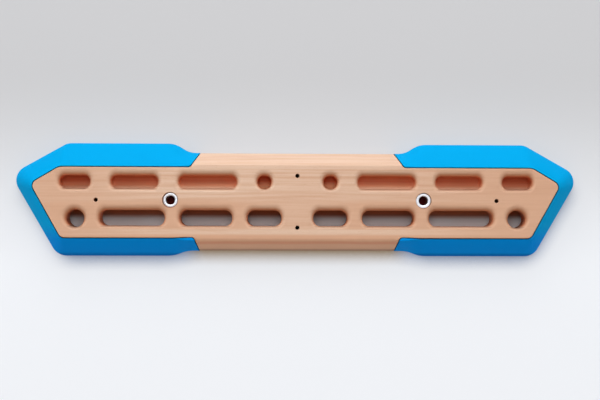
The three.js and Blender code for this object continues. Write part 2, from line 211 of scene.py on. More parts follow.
# Noises in the wood: scale along the board and across it, detail (or 2) and roughness (or 0.5)
SWAY = (3.1, 3.0)
RIPPLE = (14.0, 40.0)
UNEVENNESS = (2.0, 55.0, 1.0)
STREAKS = (7.0, 320.0, 3.0, 0.6)
FINE_GRAIN = (45.0, 1500.0, 2.0, 0.6)
FLECKS = (330.0, 2300.0, 1.0)
STRIPES = (5.0, 150.0, 2.0, 0.55)
BROAD_TONES = (2.2, 16.0)
LINE_WAVES = 9.0

# Noises in the resin, the metal and the paint: scale, detail and roughness
GRIT = (1300.0, 2.0, 0.6)
PEBBLES = (520.0, 2.0, 0.5)
MOTTLE = (38.0, 3.0, 0.55)
STAINS = (260.0, 3.0, 0.6)
NAP = (900.0, 2.0, 0.5)
LATHE = (5200.0, 900.0)  # scale from the axis outward, and along it


# Properties

def length(name, description, millimetres):
    """A size in millimetres as a property in metres"""
    return bpy.props.FloatProperty(
        name=name, description=description, default=millimetres * MM, precision=5,
        subtype="DISTANCE", unit="LENGTH")


def place(name, description, x, z):
    """A point of the face, from the middle of the board"""
    return bpy.props.FloatVectorProperty(
        name=name, description=description, default=(x * MM, z * MM), size=2, precision=5, unit="LENGTH")


def tint(name, description, red, green, blue):
    """A colour, as it is in even white light"""
    return bpy.props.FloatVectorProperty(
        name=name, description=description, default=(red, green, blue), size=3, min=0.0, max=1.0,
        subtype="COLOR")


def amount(name, description, default, low=0.0, high=1.0):
    """A plain number"""
    return bpy.props.FloatProperty(
        name=name, description=description, default=default, min=low, max=high, precision=3)


def rotation(name, description, radians):
    """An angle"""
    return bpy.props.FloatProperty(
        name=name, description=description, default=radians, precision=5, unit="ROTATION")


def group(kind, name):
    """A group of settings, described as its class is"""
    return bpy.props.PointerProperty(type=kind, name=name, description=kind.__doc__)


class HangboardOutline(bpy.types.PropertyGroup):
    """Outline of the wood, of the seam round it and of the rim"""

    seam_top: length("Seam top", "Height of the upper seam in the face, over the bolt line", 44.5)
    seam_bottom: length("Seam bottom", "Height of the lower seam in the face", -50.9)
    seam_corner: length("Seam upper corner", "Where the upper seam turns to the tip", 318.8)
    seam_tip: place("Seam tip", "Outermost corner of the wood", 357.0, 21.7)
    seam_foot: length("Seam lower corner", "Where the lower seam turns to the tip", 316.5)
    seam_corner_radius: length("Seam corner radius", "Rounding of the seam's upper corner", 19.5)
    seam_tip_radius: length("Seam tip radius", "Rounding of the seam's tip", 8.8)
    seam_foot_radius: length("Seam foot radius", "Rounding of the seam's lower corner", 9.7)
    seam_end_radius: length("Seam end radius", "Rounding of the seam where a limb ends", 5.5)
    rim_corner: place("Rim upper corner", "Upper corner of the rim", 311.3, 76.9)
    rim_tip: place("Rim tip", "Outermost corner of the rim", 387.8, 33.9)
    rim_foot: place("Rim lower corner", "Lower corner of the rim", 324.4, -75.7)
    rim_corner_radius: length("Rim corner radius", "Rounding of the rim's upper corner", 21)
    rim_tip_radius: length("Rim tip radius", "Rounding of the rim's tip", 20.5)
    rim_foot_radius: length("Rim foot radius", "Rounding of the rim's lower corner", 22)
    band_width: length("Band width", "Width of the sloping band above the board, seen from the front", 32.4)
    band_depth: length("Band depth", "How far behind the face the rim starts", 28.5)
    band_crown: length("Band crown", "Bulge of the sloping band", 1.3)
    rim_edge: length("Rim edge", "Rounding between the band and the rim", 8)
    back_break: length("Back edge", "Chamfer of the edges at the wall", 1.2)
    core_top: length("Wood top", "Height of the bare wood's upper rim", 64.3)
    core_bottom: length("Wood bottom", "Height of the bare wood's lower rim", -68.8)
    ridge_top: length("Upper ridge", "Height of the bare wood's upper ridge in the face", 47.5)
    ridge_bottom: length("Lower ridge", "Height of the bare wood's lower ridge in the face", -54.2)
    top_limb: length("Upper limb end", "Where the upper limb of a grip ends in the face", 143.8)
    top_limb_lean: length("Upper limb lean", "How far that end leans inward up the band", 12.3)
    bottom_limb: length("Lower limb end", "Where the lower limb of a grip ends in the face", 138.6)
    bottom_limb_lean: length("Lower limb lean", "How far that end leans inward down the band", 6.4)
    bottom_flare: length("Lower limb flare", "How much wider the lower limb is at its end", 1.1)
    bottom_flare_start: length("Flare start", "From the lower limb's end to where it begins to widen", 28.0)
    bottom_flare_radius: length("Flare radius", "Rounding of the seam where the limb begins to widen", 40.0)
    top_rise_start: length("Upper rise start", "From the upper limb's end to where its rim rises", 4.5)
    top_rise: length("Upper rise", "Length of the rise to the upper limb", 40.5)
    bottom_rise_start: length("Lower rise start", "From the lower limb's end to where its rim rises", 8.0)
    bottom_rise: length("Lower rise", "Length of the rise to the lower limb", 36)
    seam_gap: length("Seam gap", "Open joint between wood and resin", 1.2)
    seam_inset: length("Seam inset", "How much of the joint is taken from the wood", 0.5)


class HangboardPockets(bpy.types.PropertyGroup):
    """Roundings of the pockets, whose places and throats come from the frame's openings"""

    upper_corner: length("Upper row corner", "Corner radius of the throats of the upper row", 8.4)
    lower_corner: length("Lower row corner", "Corner radius of the throats of the lower row", 9.6)
    mouth_above: length("Mouth above", "Rounding of a mouth above its pocket", 9)
    mouth_side: length("Mouth sides", "Rounding of a mouth beside its pocket", 7)
    mouth_round: length("Round mouth sides", "Rounding of the round pocket's mouth beside it", 8)
    mouth_below: length("Mouth below", "Rounding of a mouth below its pocket", 4)
    floor_round: length("Floor rounding", "Rounding between the wall and the floor of a blind pocket", 4)


class HangboardEdges(bpy.types.PropertyGroup):
    """Small roundings"""

    wood_edge: length("Wood edge", "Rounding of the wood along the seam", 0.5)
    top_ridge: length("Upper ridge rounding", "Radius between the face and the upper bevel of the wood", 2.5)
    bottom_ridge: length("Lower ridge rounding", "Radius between the face and the lower bevel of the wood", 7)


class HangboardFixings(bpy.types.PropertyGroup):
    """Bushes, screws and their holes"""

    counterbore_clearance: length("Counterbore clearance", "Gap round the collar of a bush", 0.6)
    counterbore_edge: length("Counterbore edge", "Rounding of a counterbore in the face", 0.3)
    bolt_hole: length("Bolt hole radius", "Radius of the hole behind a bush", 6.5)
    sleeve_clearance: length("Sleeve clearance", "Gap round the sleeve of a bush", 0.3)
    sleeve_wall: length("Sleeve wall", "Wall of a bush's sleeve", 1.6)
    bore: length("Bore radius", "Radius of the bore of a bush", 6)
    collar_thickness: length("Collar thickness", "Thickness of a bush's collar", 2)
    collar_break: length("Collar edge", "Rounding of a collar's edges", 0.4)
    collar_throat: length("Collar throat", "Rounding of a collar's inner edge", 1.2)
    screw_hole: length("Screw hole radius", "Radius of the four plain screw holes", 2.8)
    screw_hole_edge: length("Screw hole edge", "Rounding of a plain screw hole in the face", 0.4)
    screw_hole_up: length("Upper middle hole", "Height of the upper hole in the middle", 33.1)
    screw_hole_down: length("Lower middle hole", "Height of the lower hole in the middle", -36.8)
    end_hole: length("End hole", "Distance of the end holes from the middle", 269.55)
    flange_width: length("Flange width", "Width of a grip's flange behind the wood", 11)
    flange_thickness: length("Flange thickness", "Thickness of a grip's flange", 8)
    flange_start: length("Flange start", "Distance of the flange's ends from the middle", 150.8)
    flange_bite: length("Flange bite", "How far the flange reaches into the grip", 2)
    fit: length("Fit", "Gap between pieces that touch", 0.3)
    shank: length("Shank radius", "Radius of a screw's shank", 2)
    head_edge: length("Head edge", "Height of the rim of a screw's head", 0.5)
    head_break: length("Head break", "Chamfer of that rim", 0.15)
    head_sink: length("Head sink", "How far a screw's head lies behind the flange", 0.4)
    plain_shank: length("Plain shank", "Length of a screw's shank before its thread", 4)
    point_length: length("Point length", "Length of a screw's point", 4)
    tip_length: length("Tip length", "Length of the blunt end of the point", 0.3)
    tip_start: length("Tip start", "Radius where that end starts", 0.25)
    tip: length("Tip radius", "Radius of the very end", 0.08)
    thread_pitch: length("Thread pitch", "Distance between two turns of a screw's thread", 0.9)
    thread_depth: length("Thread depth", "Depth of a screw's thread", 0.35)
    drive: length("Drive radius", "Radius of the six-lobed recess", 2.1)
    drive_waist: length("Drive waist", "Radius of the recess between its lobes", 1.5)
    drive_depth: length("Drive depth", "Depth of the recess", 1.6)


class HangboardFinishes(bpy.types.PropertyGroup):
    """Colours and textures"""

    wood_light: tint("Wood, light", "Beech between the growth rings", 0.68, 0.475, 0.352)
    wood_dark: tint("Wood, dark", "Beech along the growth rings and streaks", 0.57, 0.325, 0.21)
    # used as painted shade along the lower rim and the pockets' lower lips, and in streaks inside the pockets
    wood_edge: tint("Wood, edge", "Darker end grain along the lower rim", 0.25, 0.14, 0.09)
    wood_fleck: tint("Wood, fleck", "Short flecks of the beech", 0.40, 0.19, 0.105)
    # painted light and shade inside the pockets: lit low down, glowing half way up, shaded under the upper
    # edges
    wood_routed: tint("Wood, routed", "Burnished wood low in the pockets", 0.78, 0.47, 0.31)
    wood_glow: tint("Wood, glowing", "Wood half way up in the pockets", 0.77, 0.29, 0.145)
    wood_shaded: tint("Wood, shaded", "Wood under the upper edge of the pockets", 0.58, 0.115, 0.035)
    # painted shade between the rows and low on the face, also darker towards the ends
    wood_low: tint("Wood, low", "Warmer wood between the rows and along the lower edge", 0.60, 0.335, 0.212)
    # painted shade on the rounded mouths of the pockets
    wood_mouth_shade: tint("Wood, mouths", "Wood on the rounded mouths of the pockets", 0.47, 0.235, 0.135)
    # painted shade inside the through pockets
    wood_cut: tint("Wood, cut", "Wood inside the through pockets", 0.56, 0.185, 0.08)
    # painted light low in the narrow pockets
    wood_narrow_pocket_light: tint("Wood, bright", "Wood low in the round blind pockets", 1.0, 0.56, 0.31)
    ring_spacing: length("Growth ring spacing", "Distance between two growth rings", 3.4)
    grain_depth: amount("Grain depth", "Strength of the grain's relief", 0.35)
    resin: tint("Resin", "Colour of the cast grips", 0.0, 0.325, 0.668)
    resin_deep: tint("Resin, deep", "Colour in the pores and shaded specks of the resin", 0.0, 0.24, 0.56)
    # painted shade along the lower limbs
    resin_low_shade: tint("Resin, low", "Colour of the resin along the lower limbs", 0.0, 0.21, 0.70)
    # painted shade along the lower rim
    resin_rim_shade: tint("Resin, edge", "Colour of the resin along the lower rim", 0.0, 0.13, 0.46)
    resin_texture: amount("Resin texture", "Strength of the resin's fine relief", 0.30)
    steel: tint("Steel", "Turned steel of the bushes", 0.72, 0.74, 0.78)
    zinc: tint("Zinc", "Zinc plated screws", 0.70, 0.70, 0.68)


class HangboardStage(bpy.types.PropertyGroup):
    """Backdrop, lamps and camera. A lamp's level is how bright it makes a white surface square to it."""

    wall_high: tint("Backdrop, high", "Colour of the wall above the board", 0.60, 0.60, 0.615)
    wall_low: tint("Backdrop, low", "Colour of the wall below the board", 0.885, 0.905, 0.945)
    # painted light and shade on the wall seen through the through pockets
    wall_seen: tint("Backdrop, seen", "Colour of the wall low in the through pockets", 0.97, 0.98, 1.0)
    wall_dim: tint("Backdrop, dim", "Colour of the wall half way up in them", 0.68, 0.74, 0.77)
    wall_dark: tint("Backdrop, dark", "Colour of the wall higher up in them", 0.40, 0.20, 0.14)
    wall_hidden: tint("Backdrop, hidden", "Colour of the wall at the top of them", 0.57, 0.24, 0.13)
    # painted shade: the wall seen down a bush's bore
    bolt_bore_shade: tint("Drilled holes", "Colour of the holes in the wall behind the bolts", 0.36, 0.05, 0.05)
    shade_wood: tint("Shade, wood", "What the shade under the wood leaves of the wall", 0.28, 0.17, 0.06)
    shade_resin: tint("Shade, resin", "What the shade under the resin leaves of it", 0.25, 0.32, 0.46)
    shade_reach: length("Shade reach", "How far the shade under the board reaches", 25)
    floor: tint("Floor", "Colour of the floor", 0.80, 0.72, 0.64)
    wall_gap: length("Wall gap", "Distance from the board's back to the wall", 2.5)
    even_wall: amount("Even backdrop", "How much of the wall is free of the lamps' long shadows", 0.72)
    ambient: amount("Ambient light", "Strength of the even light from all sides", 0.20)
    ambient_tint: tint("Ambient tint", "Colour of that light", 0.97, 0.98, 1.0)
    surround: tint("Surround", "What the camera and reflections see round the stage", 0.62, 0.63, 0.66)
    front_level: amount("Front lamp", "Level of the lamp over the camera", 0.15)
    key_level: amount("Key lamp", "Level of the tall softbox in front and above", 0.80)
    top_level: amount("Top lamp", "Level of the lamp above the board", 0.25)
    low_level: amount("Low lamp", "Level of the faint warm light from below", 0.11)
    left_level: amount("Left lamp", "Level of the lamp at the left", 0.20)
    right_level: amount("Right lamp", "Level of the lamp at the right", 0.16)
    back_level: amount("Back lamp", "Level of the lamp behind the wall", 0.45)
    plain_tint: tint("Plain lamps", "Colour of the front, key, top and back lamps", 1.0, 1.0, 1.0)
    warm_tint: tint("Warm lamp", "Colour of the low lamp", 1.0, 0.80, 0.60)
    cool_tint: tint("Cool lamps", "Colour of the left and right lamps", 0.82, 0.94, 1.0)
    lens: amount("Lens", "Focal length on a 36 mm sensor, in millimetres", 93.53, 20.0, 200.0)
    camera_x: length("Camera X", "Place of the camera along the board", -10.0)
    camera_distance: length("Camera distance", "Distance of the camera from the face", 2100.0)
    camera_z: length("Camera Z", "Height of the camera over the bolt line", -9.4)
    shift: amount("Shift", "Shift of the lens to the left, as a share of the picture's width", 0.1092)
    yaw: rotation("Yaw", "Turn of the camera to the right", 0.04846)
    pitch: rotation("Pitch", "Tilt of the camera upward", 0.00489)
    roll: rotation("Roll", "Roll of the camera", 0.00312)


class HangboardSettings(bpy.types.PropertyGroup):
    """All settings of the hangboard"""

    outline: group(HangboardOutline, "Outline")
    pockets: group(HangboardPockets, "Pockets")
    edges: group(HangboardEdges, "Edges")
    fixings: group(HangboardFixings, "Fixings")
    finishes: group(HangboardFinishes, "Finishes")
    stage: group(HangboardStage, "Stage")


def settings():
    """The scene's hangboard settings"""
    return bpy.context.scene.hangboard


# Outlines, as lists of points or of corners: a point and its radius

def corner(x, z, radius=0.0):
    """A corner of an outline"""
    return Vector((x, z)), radius


def mirrored(corners):
    """The same corners on the other end of the board, in the order that closes the outline"""
    return [corner(-point.x, point.y, radius) for point, radius in reversed(corners)]


def on_side(points, side):
    """Points of the right end moved to the end that is asked for"""
    return [Vector((point.x * side, point.y)) for point in points]


def lerp(a, b, share):
    """A value between two others"""
    return a + (b - a) * share


def quarter(steps):
    """Points of a quarter round with radius one: how far each is from its wall, and how far from its face"""
    angles = [math.pi / 2 * step / steps for step in range(steps + 1)]
    return [(1 - math.cos(angle), 1 - math.sin(angle)) for angle in angles]


def rounded(corners, steps):
    """A closed outline through corners, each rounded by an arc"""
    points = []
    for index, (point, radius) in enumerate(corners):
        if radius <= 0:
            points.append(point.copy())
            continue
        before = corners[index - 1][0] - point
        after = corners[(index + 1) % len(corners)][0] - point
        half = before.angle(after) / 2
        reach = min(radius / math.tan(half), ARC_LIMIT * min(before.length, after.length))
        arc = reach * math.tan(half)
        centre = point + (before.normalized() + after.normalized()).normalized() * (arc / math.sin(half))
        start = point + before.normalized() * reach - centre
        end = point + after.normalized() * reach - centre
        first = math.atan2(start.y, start.x)
        whole = math.atan2(end.y, end.x) - first
        turn = math.atan2(math.sin(whole), math.cos(whole))
        for step in range(steps + 1):
            angle = first + turn * step / steps
            points.append(centre + arc * Vector((math.cos(angle), math.sin(angle))))
    return points


def inflated(corners, distance):
    """A clockwise outline with every side moved outward, its roundings kept concentric"""
    def normal(a, b):
        return Vector((a.y - b.y, b.x - a.x)).normalized()

    result = []
    for index, (point, radius) in enumerate(corners):
        before = normal(corners[index - 1][0], point)
        after = normal(point, corners[(index + 1) % len(corners)][0])
        shift = (before + after) * (distance / (1 + before.dot(after)))
        turns_right = before.x * after.y - before.y * after.x < 0
        grown = max(radius + (distance if turns_right else -distance), 0.0) if radius else 0.0
        result.append((point + shift, grown))
    return result


def seam_corners(o):
    """Corners of the seam round the right end, from the top"""
    return [
        corner(o.seam_corner, o.seam_top, o.seam_corner_radius),
        corner(*o.seam_tip, o.seam_tip_radius),
        corner(o.seam_foot, o.seam_bottom, o.seam_foot_radius),
    ]


def rim_corners(o):
    """Corners of the rim round the right end, from the top"""
    return [
        corner(*o.rim_corner, o.rim_corner_radius),
        corner(*o.rim_tip, o.rim_tip_radius),
        corner(*o.rim_foot, o.rim_foot_radius),
    ]


def wood_corners(o):
    """Corners of the wood's outline, clockwise from the top"""
    right = [
        corner(o.top_limb - o.top_limb_lean, o.core_top),
        corner(o.top_limb, o.seam_top, o.seam_end_radius),
        *seam_corners(o),
        corner(o.bottom_limb + o.bottom_flare_start, o.seam_bottom, o.bottom_flare_radius),
        corner(o.bottom_limb, o.seam_bottom + o.bottom_flare, o.seam_end_radius),
        corner(o.bottom_limb - o.bottom_limb_lean, o.core_bottom),
    ]
    return [*right, *mirrored(right)]


def flange_outline(o, start, outside, inside):
    """The band round the right tongue between two offsets of the seam, beginning at one X"""
    tongue = [corner(start, o.seam_top), *seam_corners(o), corner(start, o.seam_bottom)]

    def path(distance):
        moved = inflated(tongue, distance)
        moved[0][0].x = start
        moved[-1][0].x = start
        return moved

    return rounded([*path(outside), *reversed(path(-inside))], ARC_STEPS)


def bezier(points, steps):
    """Points along a Bezier curve"""
    result = []
    for step in range(steps + 1):
        share = step / steps
        level = list(points)
        while len(level) > 1:
            level = [a.lerp(b, share) for a, b in zip(level, level[1:])]
        result.append(level[0].copy())
    return result


def band_profile(o):
    """Section of the band: how far out it is, and how far behind the face"""
    edge = Vector((o.band_width, o.band_depth))
    along = edge.normalized()
    reach = o.rim_edge * math.tan(Vector((0, 1)).angle(along) / 2)
    band_end = edge - along * reach
    rim_start = edge + Vector((0, reach))
    pull = band_end / 2 + Vector((along.y, -along.x)) * (2 * o.band_crown)
    crown = bezier([Vector((0, 0)), pull, band_end], BAND_STEPS)
    rim = bezier([band_end, edge, rim_start], RIM_EDGE_STEPS)[1:]
    chamfer = Vector((o.band_width, BOARD_DEPTH - o.back_break))
    back = Vector((o.band_width - o.back_break, BOARD_DEPTH))
    return [*crown, *rim, chamfer, back]


def rise(start, span, core, limb, share):
    """Where the outline rises from the bare wood to a limb, seen from the front at a share of the band"""
    low = lerp(*core, share)
    high = lerp(*limb, share)
    half = start + span / 2
    points = [Vector(p) for p in ((start, low), (half, low), (half, high), (start + span, high))]
    return [(point, 0.0) for point in bezier(points, RISE_STEPS)]


def outside_rings(o):
    """Outlines of the whole outside with both grips, from the face to the wall"""
    seams = seam_corners(o)
    rims = rim_corners(o)
    rings = []
    for point in band_profile(o):
        share = point.x / o.band_width
        corners = [(a.lerp(b, share), lerp(ra, rb, share)) for (a, ra), (b, rb) in zip(seams, rims)]
        top = rise(o.top_limb - o.top_limb_lean + o.top_rise_start, o.top_rise,
                   (o.ridge_top, o.core_top), (o.seam_top, o.rim_corner[1]), share)
        bottom = rise(o.bottom_limb - o.bottom_limb_lean + o.bottom_rise_start, o.bottom_rise,
                      (o.ridge_bottom, o.core_bottom), (o.seam_bottom, o.rim_foot[1]), share)
        right = [*top, *corners, *reversed(bottom)]
        rings.append(facing(rounded([*right, *mirrored(right)], ARC_STEPS), point.y - BOARD_DEPTH))
    return rings


def facing(outline, y):
    """An outline as a ring of points square to the wall"""
    return [Vector((point.x, y, point.y)) for point in outline]


# Modelling

def deselect_all():
    """Nothing selected, nothing in edit mode"""
    if bpy.context.object and bpy.context.object.mode != "OBJECT":
        bpy.ops.object.mode_set(mode="OBJECT")
    bpy.ops.object.select_all(action="DESELECT")


def take(piece):
    """Selects one piece alone"""
    deselect_all()
    piece.select_set(True)
    bpy.context.view_layer.objects.active = piece


def edit(piece):
    """Opens a piece in edit mode, alone, with nothing selected in it"""
    take(piece)
    bpy.ops.object.mode_set(mode="EDIT")
    bpy.ops.mesh.select_all(action="DESELECT")


def tidy_normals():
    """Leaves edit mode with doubles merged and faces outward"""
    bpy.ops.mesh.select_all(action="SELECT")
    bpy.ops.mesh.remove_doubles(threshold=WELD)
    bpy.ops.mesh.normals_make_consistent(inside=False)
    bpy.ops.object.mode_set(mode="OBJECT")


def lay(piece, ring):
    """Lays the selected vertices on a ring of points, in the order of the ring"""
    mesh = bmesh.from_edit_mesh(piece.data)
    order = mesh.verts.layers.int["order"]
    for vertex in mesh.verts:
        if vertex.select:
            vertex.co = ring[vertex[order]]
    bmesh.update_edit_mesh(piece.data)


def loft(name, rings):
    """A closed body through rings of points: a filled circle on the first, extruded to each next one"""
    deselect_all()
    bpy.ops.mesh.primitive_circle_add(vertices=len(rings[0]), radius=1.0, fill_type="NGON")
    piece = bpy.context.object
    piece.name = name
    bpy.ops.object.mode_set(mode="EDIT")
    mesh = bmesh.from_edit_mesh(piece.data)
    order = mesh.verts.layers.int.new("order")
    for index, vertex in enumerate(mesh.verts):
        vertex[order] = index
    bmesh.update_edit_mesh(piece.data)
    lay(piece, rings[0])
    for ring in rings[1:]:
        bpy.ops.mesh.extrude_region_move()
        lay(piece, ring)
    tidy_normals()
    piece.data.attributes.remove(piece.data.attributes["order"])
    return piece


def prism(name, outline, back, front):
    """A body with one outline between two depths"""
    return loft(name, [facing(outline, back), facing(outline, front)])


def turned(name, profile, x, z, segments):
    """A body turned about a line square to the wall, from a profile of radius and Y; open ends are filled"""
    deselect_all()
    centre = Vector((x, 0, z))
    (radius, y), *rest = profile
    bpy.ops.mesh.primitive_circle_add(
        vertices=segments, radius=radius, fill_type="NOTHING", location=(x, y, z),
        rotation=(math.pi / 2, 0, 0))
    piece = bpy.context.object
    piece.name = name
    bpy.ops.object.transform_apply(location=True, rotation=True, scale=True)
    bpy.ops.object.mode_set(mode="EDIT")
    for next_radius, next_y in rest:
        bpy.ops.mesh.extrude_region_move(TRANSFORM_OT_translate={"value": (0, next_y - y, 0)})
        ratio = next_radius / radius
        bpy.ops.transform.resize(value=(ratio, 1, ratio), center_override=centre)
        radius, y = next_radius, next_y
    bpy.ops.mesh.select_all(action="SELECT")
    bpy.ops.mesh.remove_doubles(threshold=WELD)
    bpy.ops.mesh.select_all(action="DESELECT")
    bpy.ops.mesh.select_mode(type="EDGE")
    bpy.ops.mesh.select_non_manifold(
        extend=False, use_wire=False, use_multi_face=False, use_non_contiguous=False, use_verts=False)
    bpy.ops.mesh.edge_face_add()
    bpy.ops.mesh.select_mode(type="VERT")
    tidy_normals()
    return piece


def combine(target, others, operation):
    """Cuts other pieces out of one, or joins them to it"""
    deselect_all()
    for piece in others:
        piece.select_set(True)
    bpy.context.view_layer.objects.active = others[0]
    if len(others) > 1:
        bpy.ops.object.join()
    tool = bpy.context.object
    take(target)
    bpy.ops.object.modifier_add(type="BOOLEAN")
    modifier = target.modifiers[-1]
    modifier.operation = operation
    modifier.solver = "EXACT"
    modifier.object = tool
    bpy.ops.object.modifier_apply(modifier=modifier.name)
    bpy.data.objects.remove(tool, do_unlink=True)


def cut(target, *cutters):
    """Cuts bodies out of a piece"""
    combine(target, cutters, "DIFFERENCE")


def shade_smooth(piece):
    """Shades a piece smooth between its sharp edges, and keeps its flats even"""
    edit(piece)
    bpy.ops.mesh.select_all(action="SELECT")
    bpy.ops.mesh.remove_doubles(threshold=WELD)
    bpy.ops.object.mode_set(mode="OBJECT")
    bpy.ops.object.shade_smooth_by_angle(angle=SMOOTH_LIMIT)
    bpy.ops.object.modifier_add(type="WEIGHTED_NORMAL")
    modifier = piece.modifiers[-1]
    modifier.keep_sharp = True
    bpy.ops.object.modifier_apply(modifier=modifier.name)


def copied(piece, name, shift=None, mirror=False):
    """A copy with its own mesh, moved or mirrored about the middle of the board"""
    take(piece)
    bpy.ops.object.duplicate(linked=False)
    twin = bpy.context.object
    twin.name = name
    bpy.ops.object.mode_set(mode="EDIT")
    bpy.ops.mesh.select_all(action="SELECT")
    if mirror:
        bpy.ops.transform.resize(value=(-1, 1, 1), center_override=(0, 0, 0))
        bpy.ops.mesh.flip_normals()
    if shift:
        bpy.ops.transform.translate(value=shift)
    bpy.ops.object.mode_set(mode="OBJECT")
    return twin


def finish_piece(piece, node, material):
    """Gives a piece its finish and its place in the frame"""
    piece.data.materials.clear()
    piece.data.materials.append(material)
    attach(piece, BODY)
    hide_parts(node)


def round_seat(node):
    """X, Z and radius of a round CAD node that stands square to the wall"""
    low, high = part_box(node)
    return (low.x + high.x) / 2, (low.z + high.z) / 2, (high.x - low.x) / 2


def screw_places():
    """X and Z of each screw of the right grip"""
    return [round_seat(f"right_grip_screw_{number}")[:2] for number in range(1, GRIP_SCREWS + 1)]


# Pockets

def pocket_throats(p):
    """Box, depth, corner radius and side rounding of each pocket right of the middle, from the openings
    that the frame gives"""
    throats = []
    for opening in frame["record"]["physics"]["openings"]:
        if not (opening["name"].startswith("right") and opening["name"].endswith("pocket")):
            continue
        (left, _, low), (right, back, high) = opening["box_m"]
        if opening["name"].endswith("lower_one_finger_pocket"):
            half = ((right - left) / 2 + OPENING_MARGIN) * math.sqrt(2)
            x, z = (left + right) / 2, (low + high) / 2
            throats.append((x - half, x + half, z - half, z + half, None, half, p.mouth_round))
            continue
        through = back > 0
        radius = p.lower_corner if through else p.upper_corner
        side = radius - math.sqrt(radius ** 2 - (radius - OPENING_INSET) ** 2) + OPENING_MARGIN
        depth = None if through else back + BOARD_DEPTH + OPENING_FLOOR
        box = (left - side, right + side, low - OPENING_INSET, high + OPENING_INSET)
        throats.append((*box, depth, radius, p.mouth_side))
    return throats


def pocket_cutter(throat, p, side):
    """Cutter of a pocket: a rounded plate, drawn out from the pocket's floor or the wall to its mouth"""
    left, right, low, high, depth, radius, beside = throat
    deselect_all()
    width = right - left
    height = high - low
    centre = Vector(((left + right) / 2, 0, (low + high) / 2))
    bpy.ops.mesh.primitive_plane_add(size=1, location=(0, 0, 0), rotation=(math.pi / 2, 0, 0))
    piece = bpy.context.object
    piece.name = "pocket"
    bpy.ops.object.transform_apply(location=True, rotation=True, scale=True)
    bpy.ops.object.mode_set(mode="EDIT")
    bpy.ops.transform.resize(value=(width, 1, height), center_override=(0, 0, 0))
    bpy.ops.transform.translate(value=centre)
    bpy.ops.mesh.bevel(
        offset=min(radius, PLATE_SHARE * width, PLATE_SHARE * height), segments=POCKET_STEPS,
        affect="VERTICES", clamp_overlap=True)
    bpy.ops.mesh.select_all(action="SELECT")

    state = {"y": 0.0, "box": [left, right, low, high]}

    def size_to(y, above, sides, below, draw=True):
        """Draws the plate out to a depth, with its box grown"""
        old = state["box"]
        new = [left - sides, right + sides, low - below, high + above]
        if draw:
            bpy.ops.mesh.extrude_region_move(TRANSFORM_OT_translate={"value": (0, y - state["y"], 0)})
        else:
            bpy.ops.transform.translate(value=(0, y - state["y"], 0))
        middle = Vector(((old[0] + old[1]) / 2, 0, (old[2] + old[3]) / 2))
        grow_x = (new[1] - new[0]) / (old[1] - old[0])
        grow_z = (new[3] - new[2]) / (old[3] - old[2])
        bpy.ops.transform.resize(value=(grow_x, 1, grow_z), center_override=middle)
        bpy.ops.transform.translate(value=(0, 0, (new[2] + new[3] - old[2] - old[3]) / 2))
        state["y"] = y
        state["box"] = new

    chamfer = settings().outline.back_break
    if depth is None:
        size_to(OVERRUN, chamfer, chamfer, chamfer, draw=False)
        size_to(0.0, chamfer, chamfer, chamfer)
        size_to(-chamfer, 0, 0, 0)
    else:
        floor = depth - BOARD_DEPTH
        for step, (rise_share, inset_share) in enumerate(quarter(FLOOR_STEPS)):
            shrink = -p.floor_round * inset_share
            size_to(floor - p.floor_round * rise_share, shrink, shrink, shrink, draw=step > 0)
    sizes = (p.mouth_above, beside, p.mouth_below)
    for _, depth_share in quarter(MOUTH_STEPS)[:-1]:
        behind = p.mouth_above * depth_share
        flares = [size - math.sqrt(size ** 2 - max(size - behind, 0.0) ** 2) for size in sizes]
        size_to(behind - BOARD_DEPTH, *flares)
    size_to(-behind - BOARD_DEPTH, *(2 * size - flare for size, flare in zip(sizes, flares)))
    if side < 0:
        bpy.ops.mesh.select_all(action="SELECT")
        bpy.ops.transform.resize(value=(-1, 1, 1), center_override=(0, 0, 0))
    tidy_normals()
    return piece


# Wood

def ridge_cutter(name, o, face_height, rim_height, radius):
    """Cutter of the bare wood's bevel, along the board: rounded ridge, bevel, rim edge and back chamfer"""
    away = 1 if rim_height > face_height else -1
    reach = abs(rim_height - face_height)
    profile = [Vector((point.x / o.band_width * reach, point.y)) for point in band_profile(o)]
    slope = profile[1].normalized()
    turn = Vector((1, 0)).angle(slope)
    tangent = radius * math.tan(turn / 2)
    ridge = []
    for step in range(RIDGE_STEPS + 1):
        angle = turn * step / RIDGE_STEPS
        ridge.append(Vector((-tangent + radius * math.sin(angle), radius * (1 - math.cos(angle)))))
    ridge[0] = 2 * ridge[0] - ridge[1]
    section = [
        Vector((ridge[0].x, -OVERRUN)),
        *ridge,
        *(point for point in profile[1:] if point.x > ridge[-1].x),
        Vector((profile[-1].x, BOARD_DEPTH + OVERRUN)),
        Vector((reach + 2 * OVERRUN, BOARD_DEPTH + OVERRUN)),
        Vector((reach + 2 * OVERRUN, -OVERRUN)),
    ]
    end = max(o.top_limb, o.bottom_limb) + OVERRUN
    rings = []
    for x in (-end, end):
        rings.append([Vector((x, point.y - BOARD_DEPTH, face_height + away * point.x)) for point in section])
    return loft(name, rings)


def hole_mouth(radius, edge):
    """Profile of a hole's rounded edge, which crosses the face at a slant"""
    mouth = [(radius + edge * out, edge * depth) for out, depth in quarter(EDGE_STEPS)[:-1]]
    last_radius, last_depth = mouth[-1]
    mouth.append((2 * (radius + edge) - last_radius, -last_depth))
    return [(r, depth - BOARD_DEPTH) for r, depth in mouth]


def screw_hole(f, x, z):
    """Cutter of a plain screw hole with a rounded edge in the face"""
    profile = [(f.screw_hole, OVERRUN), *hole_mouth(f.screw_hole, f.screw_hole_edge)]
    return turned("screw_hole", profile, x, z, HOLE_SEGMENTS)


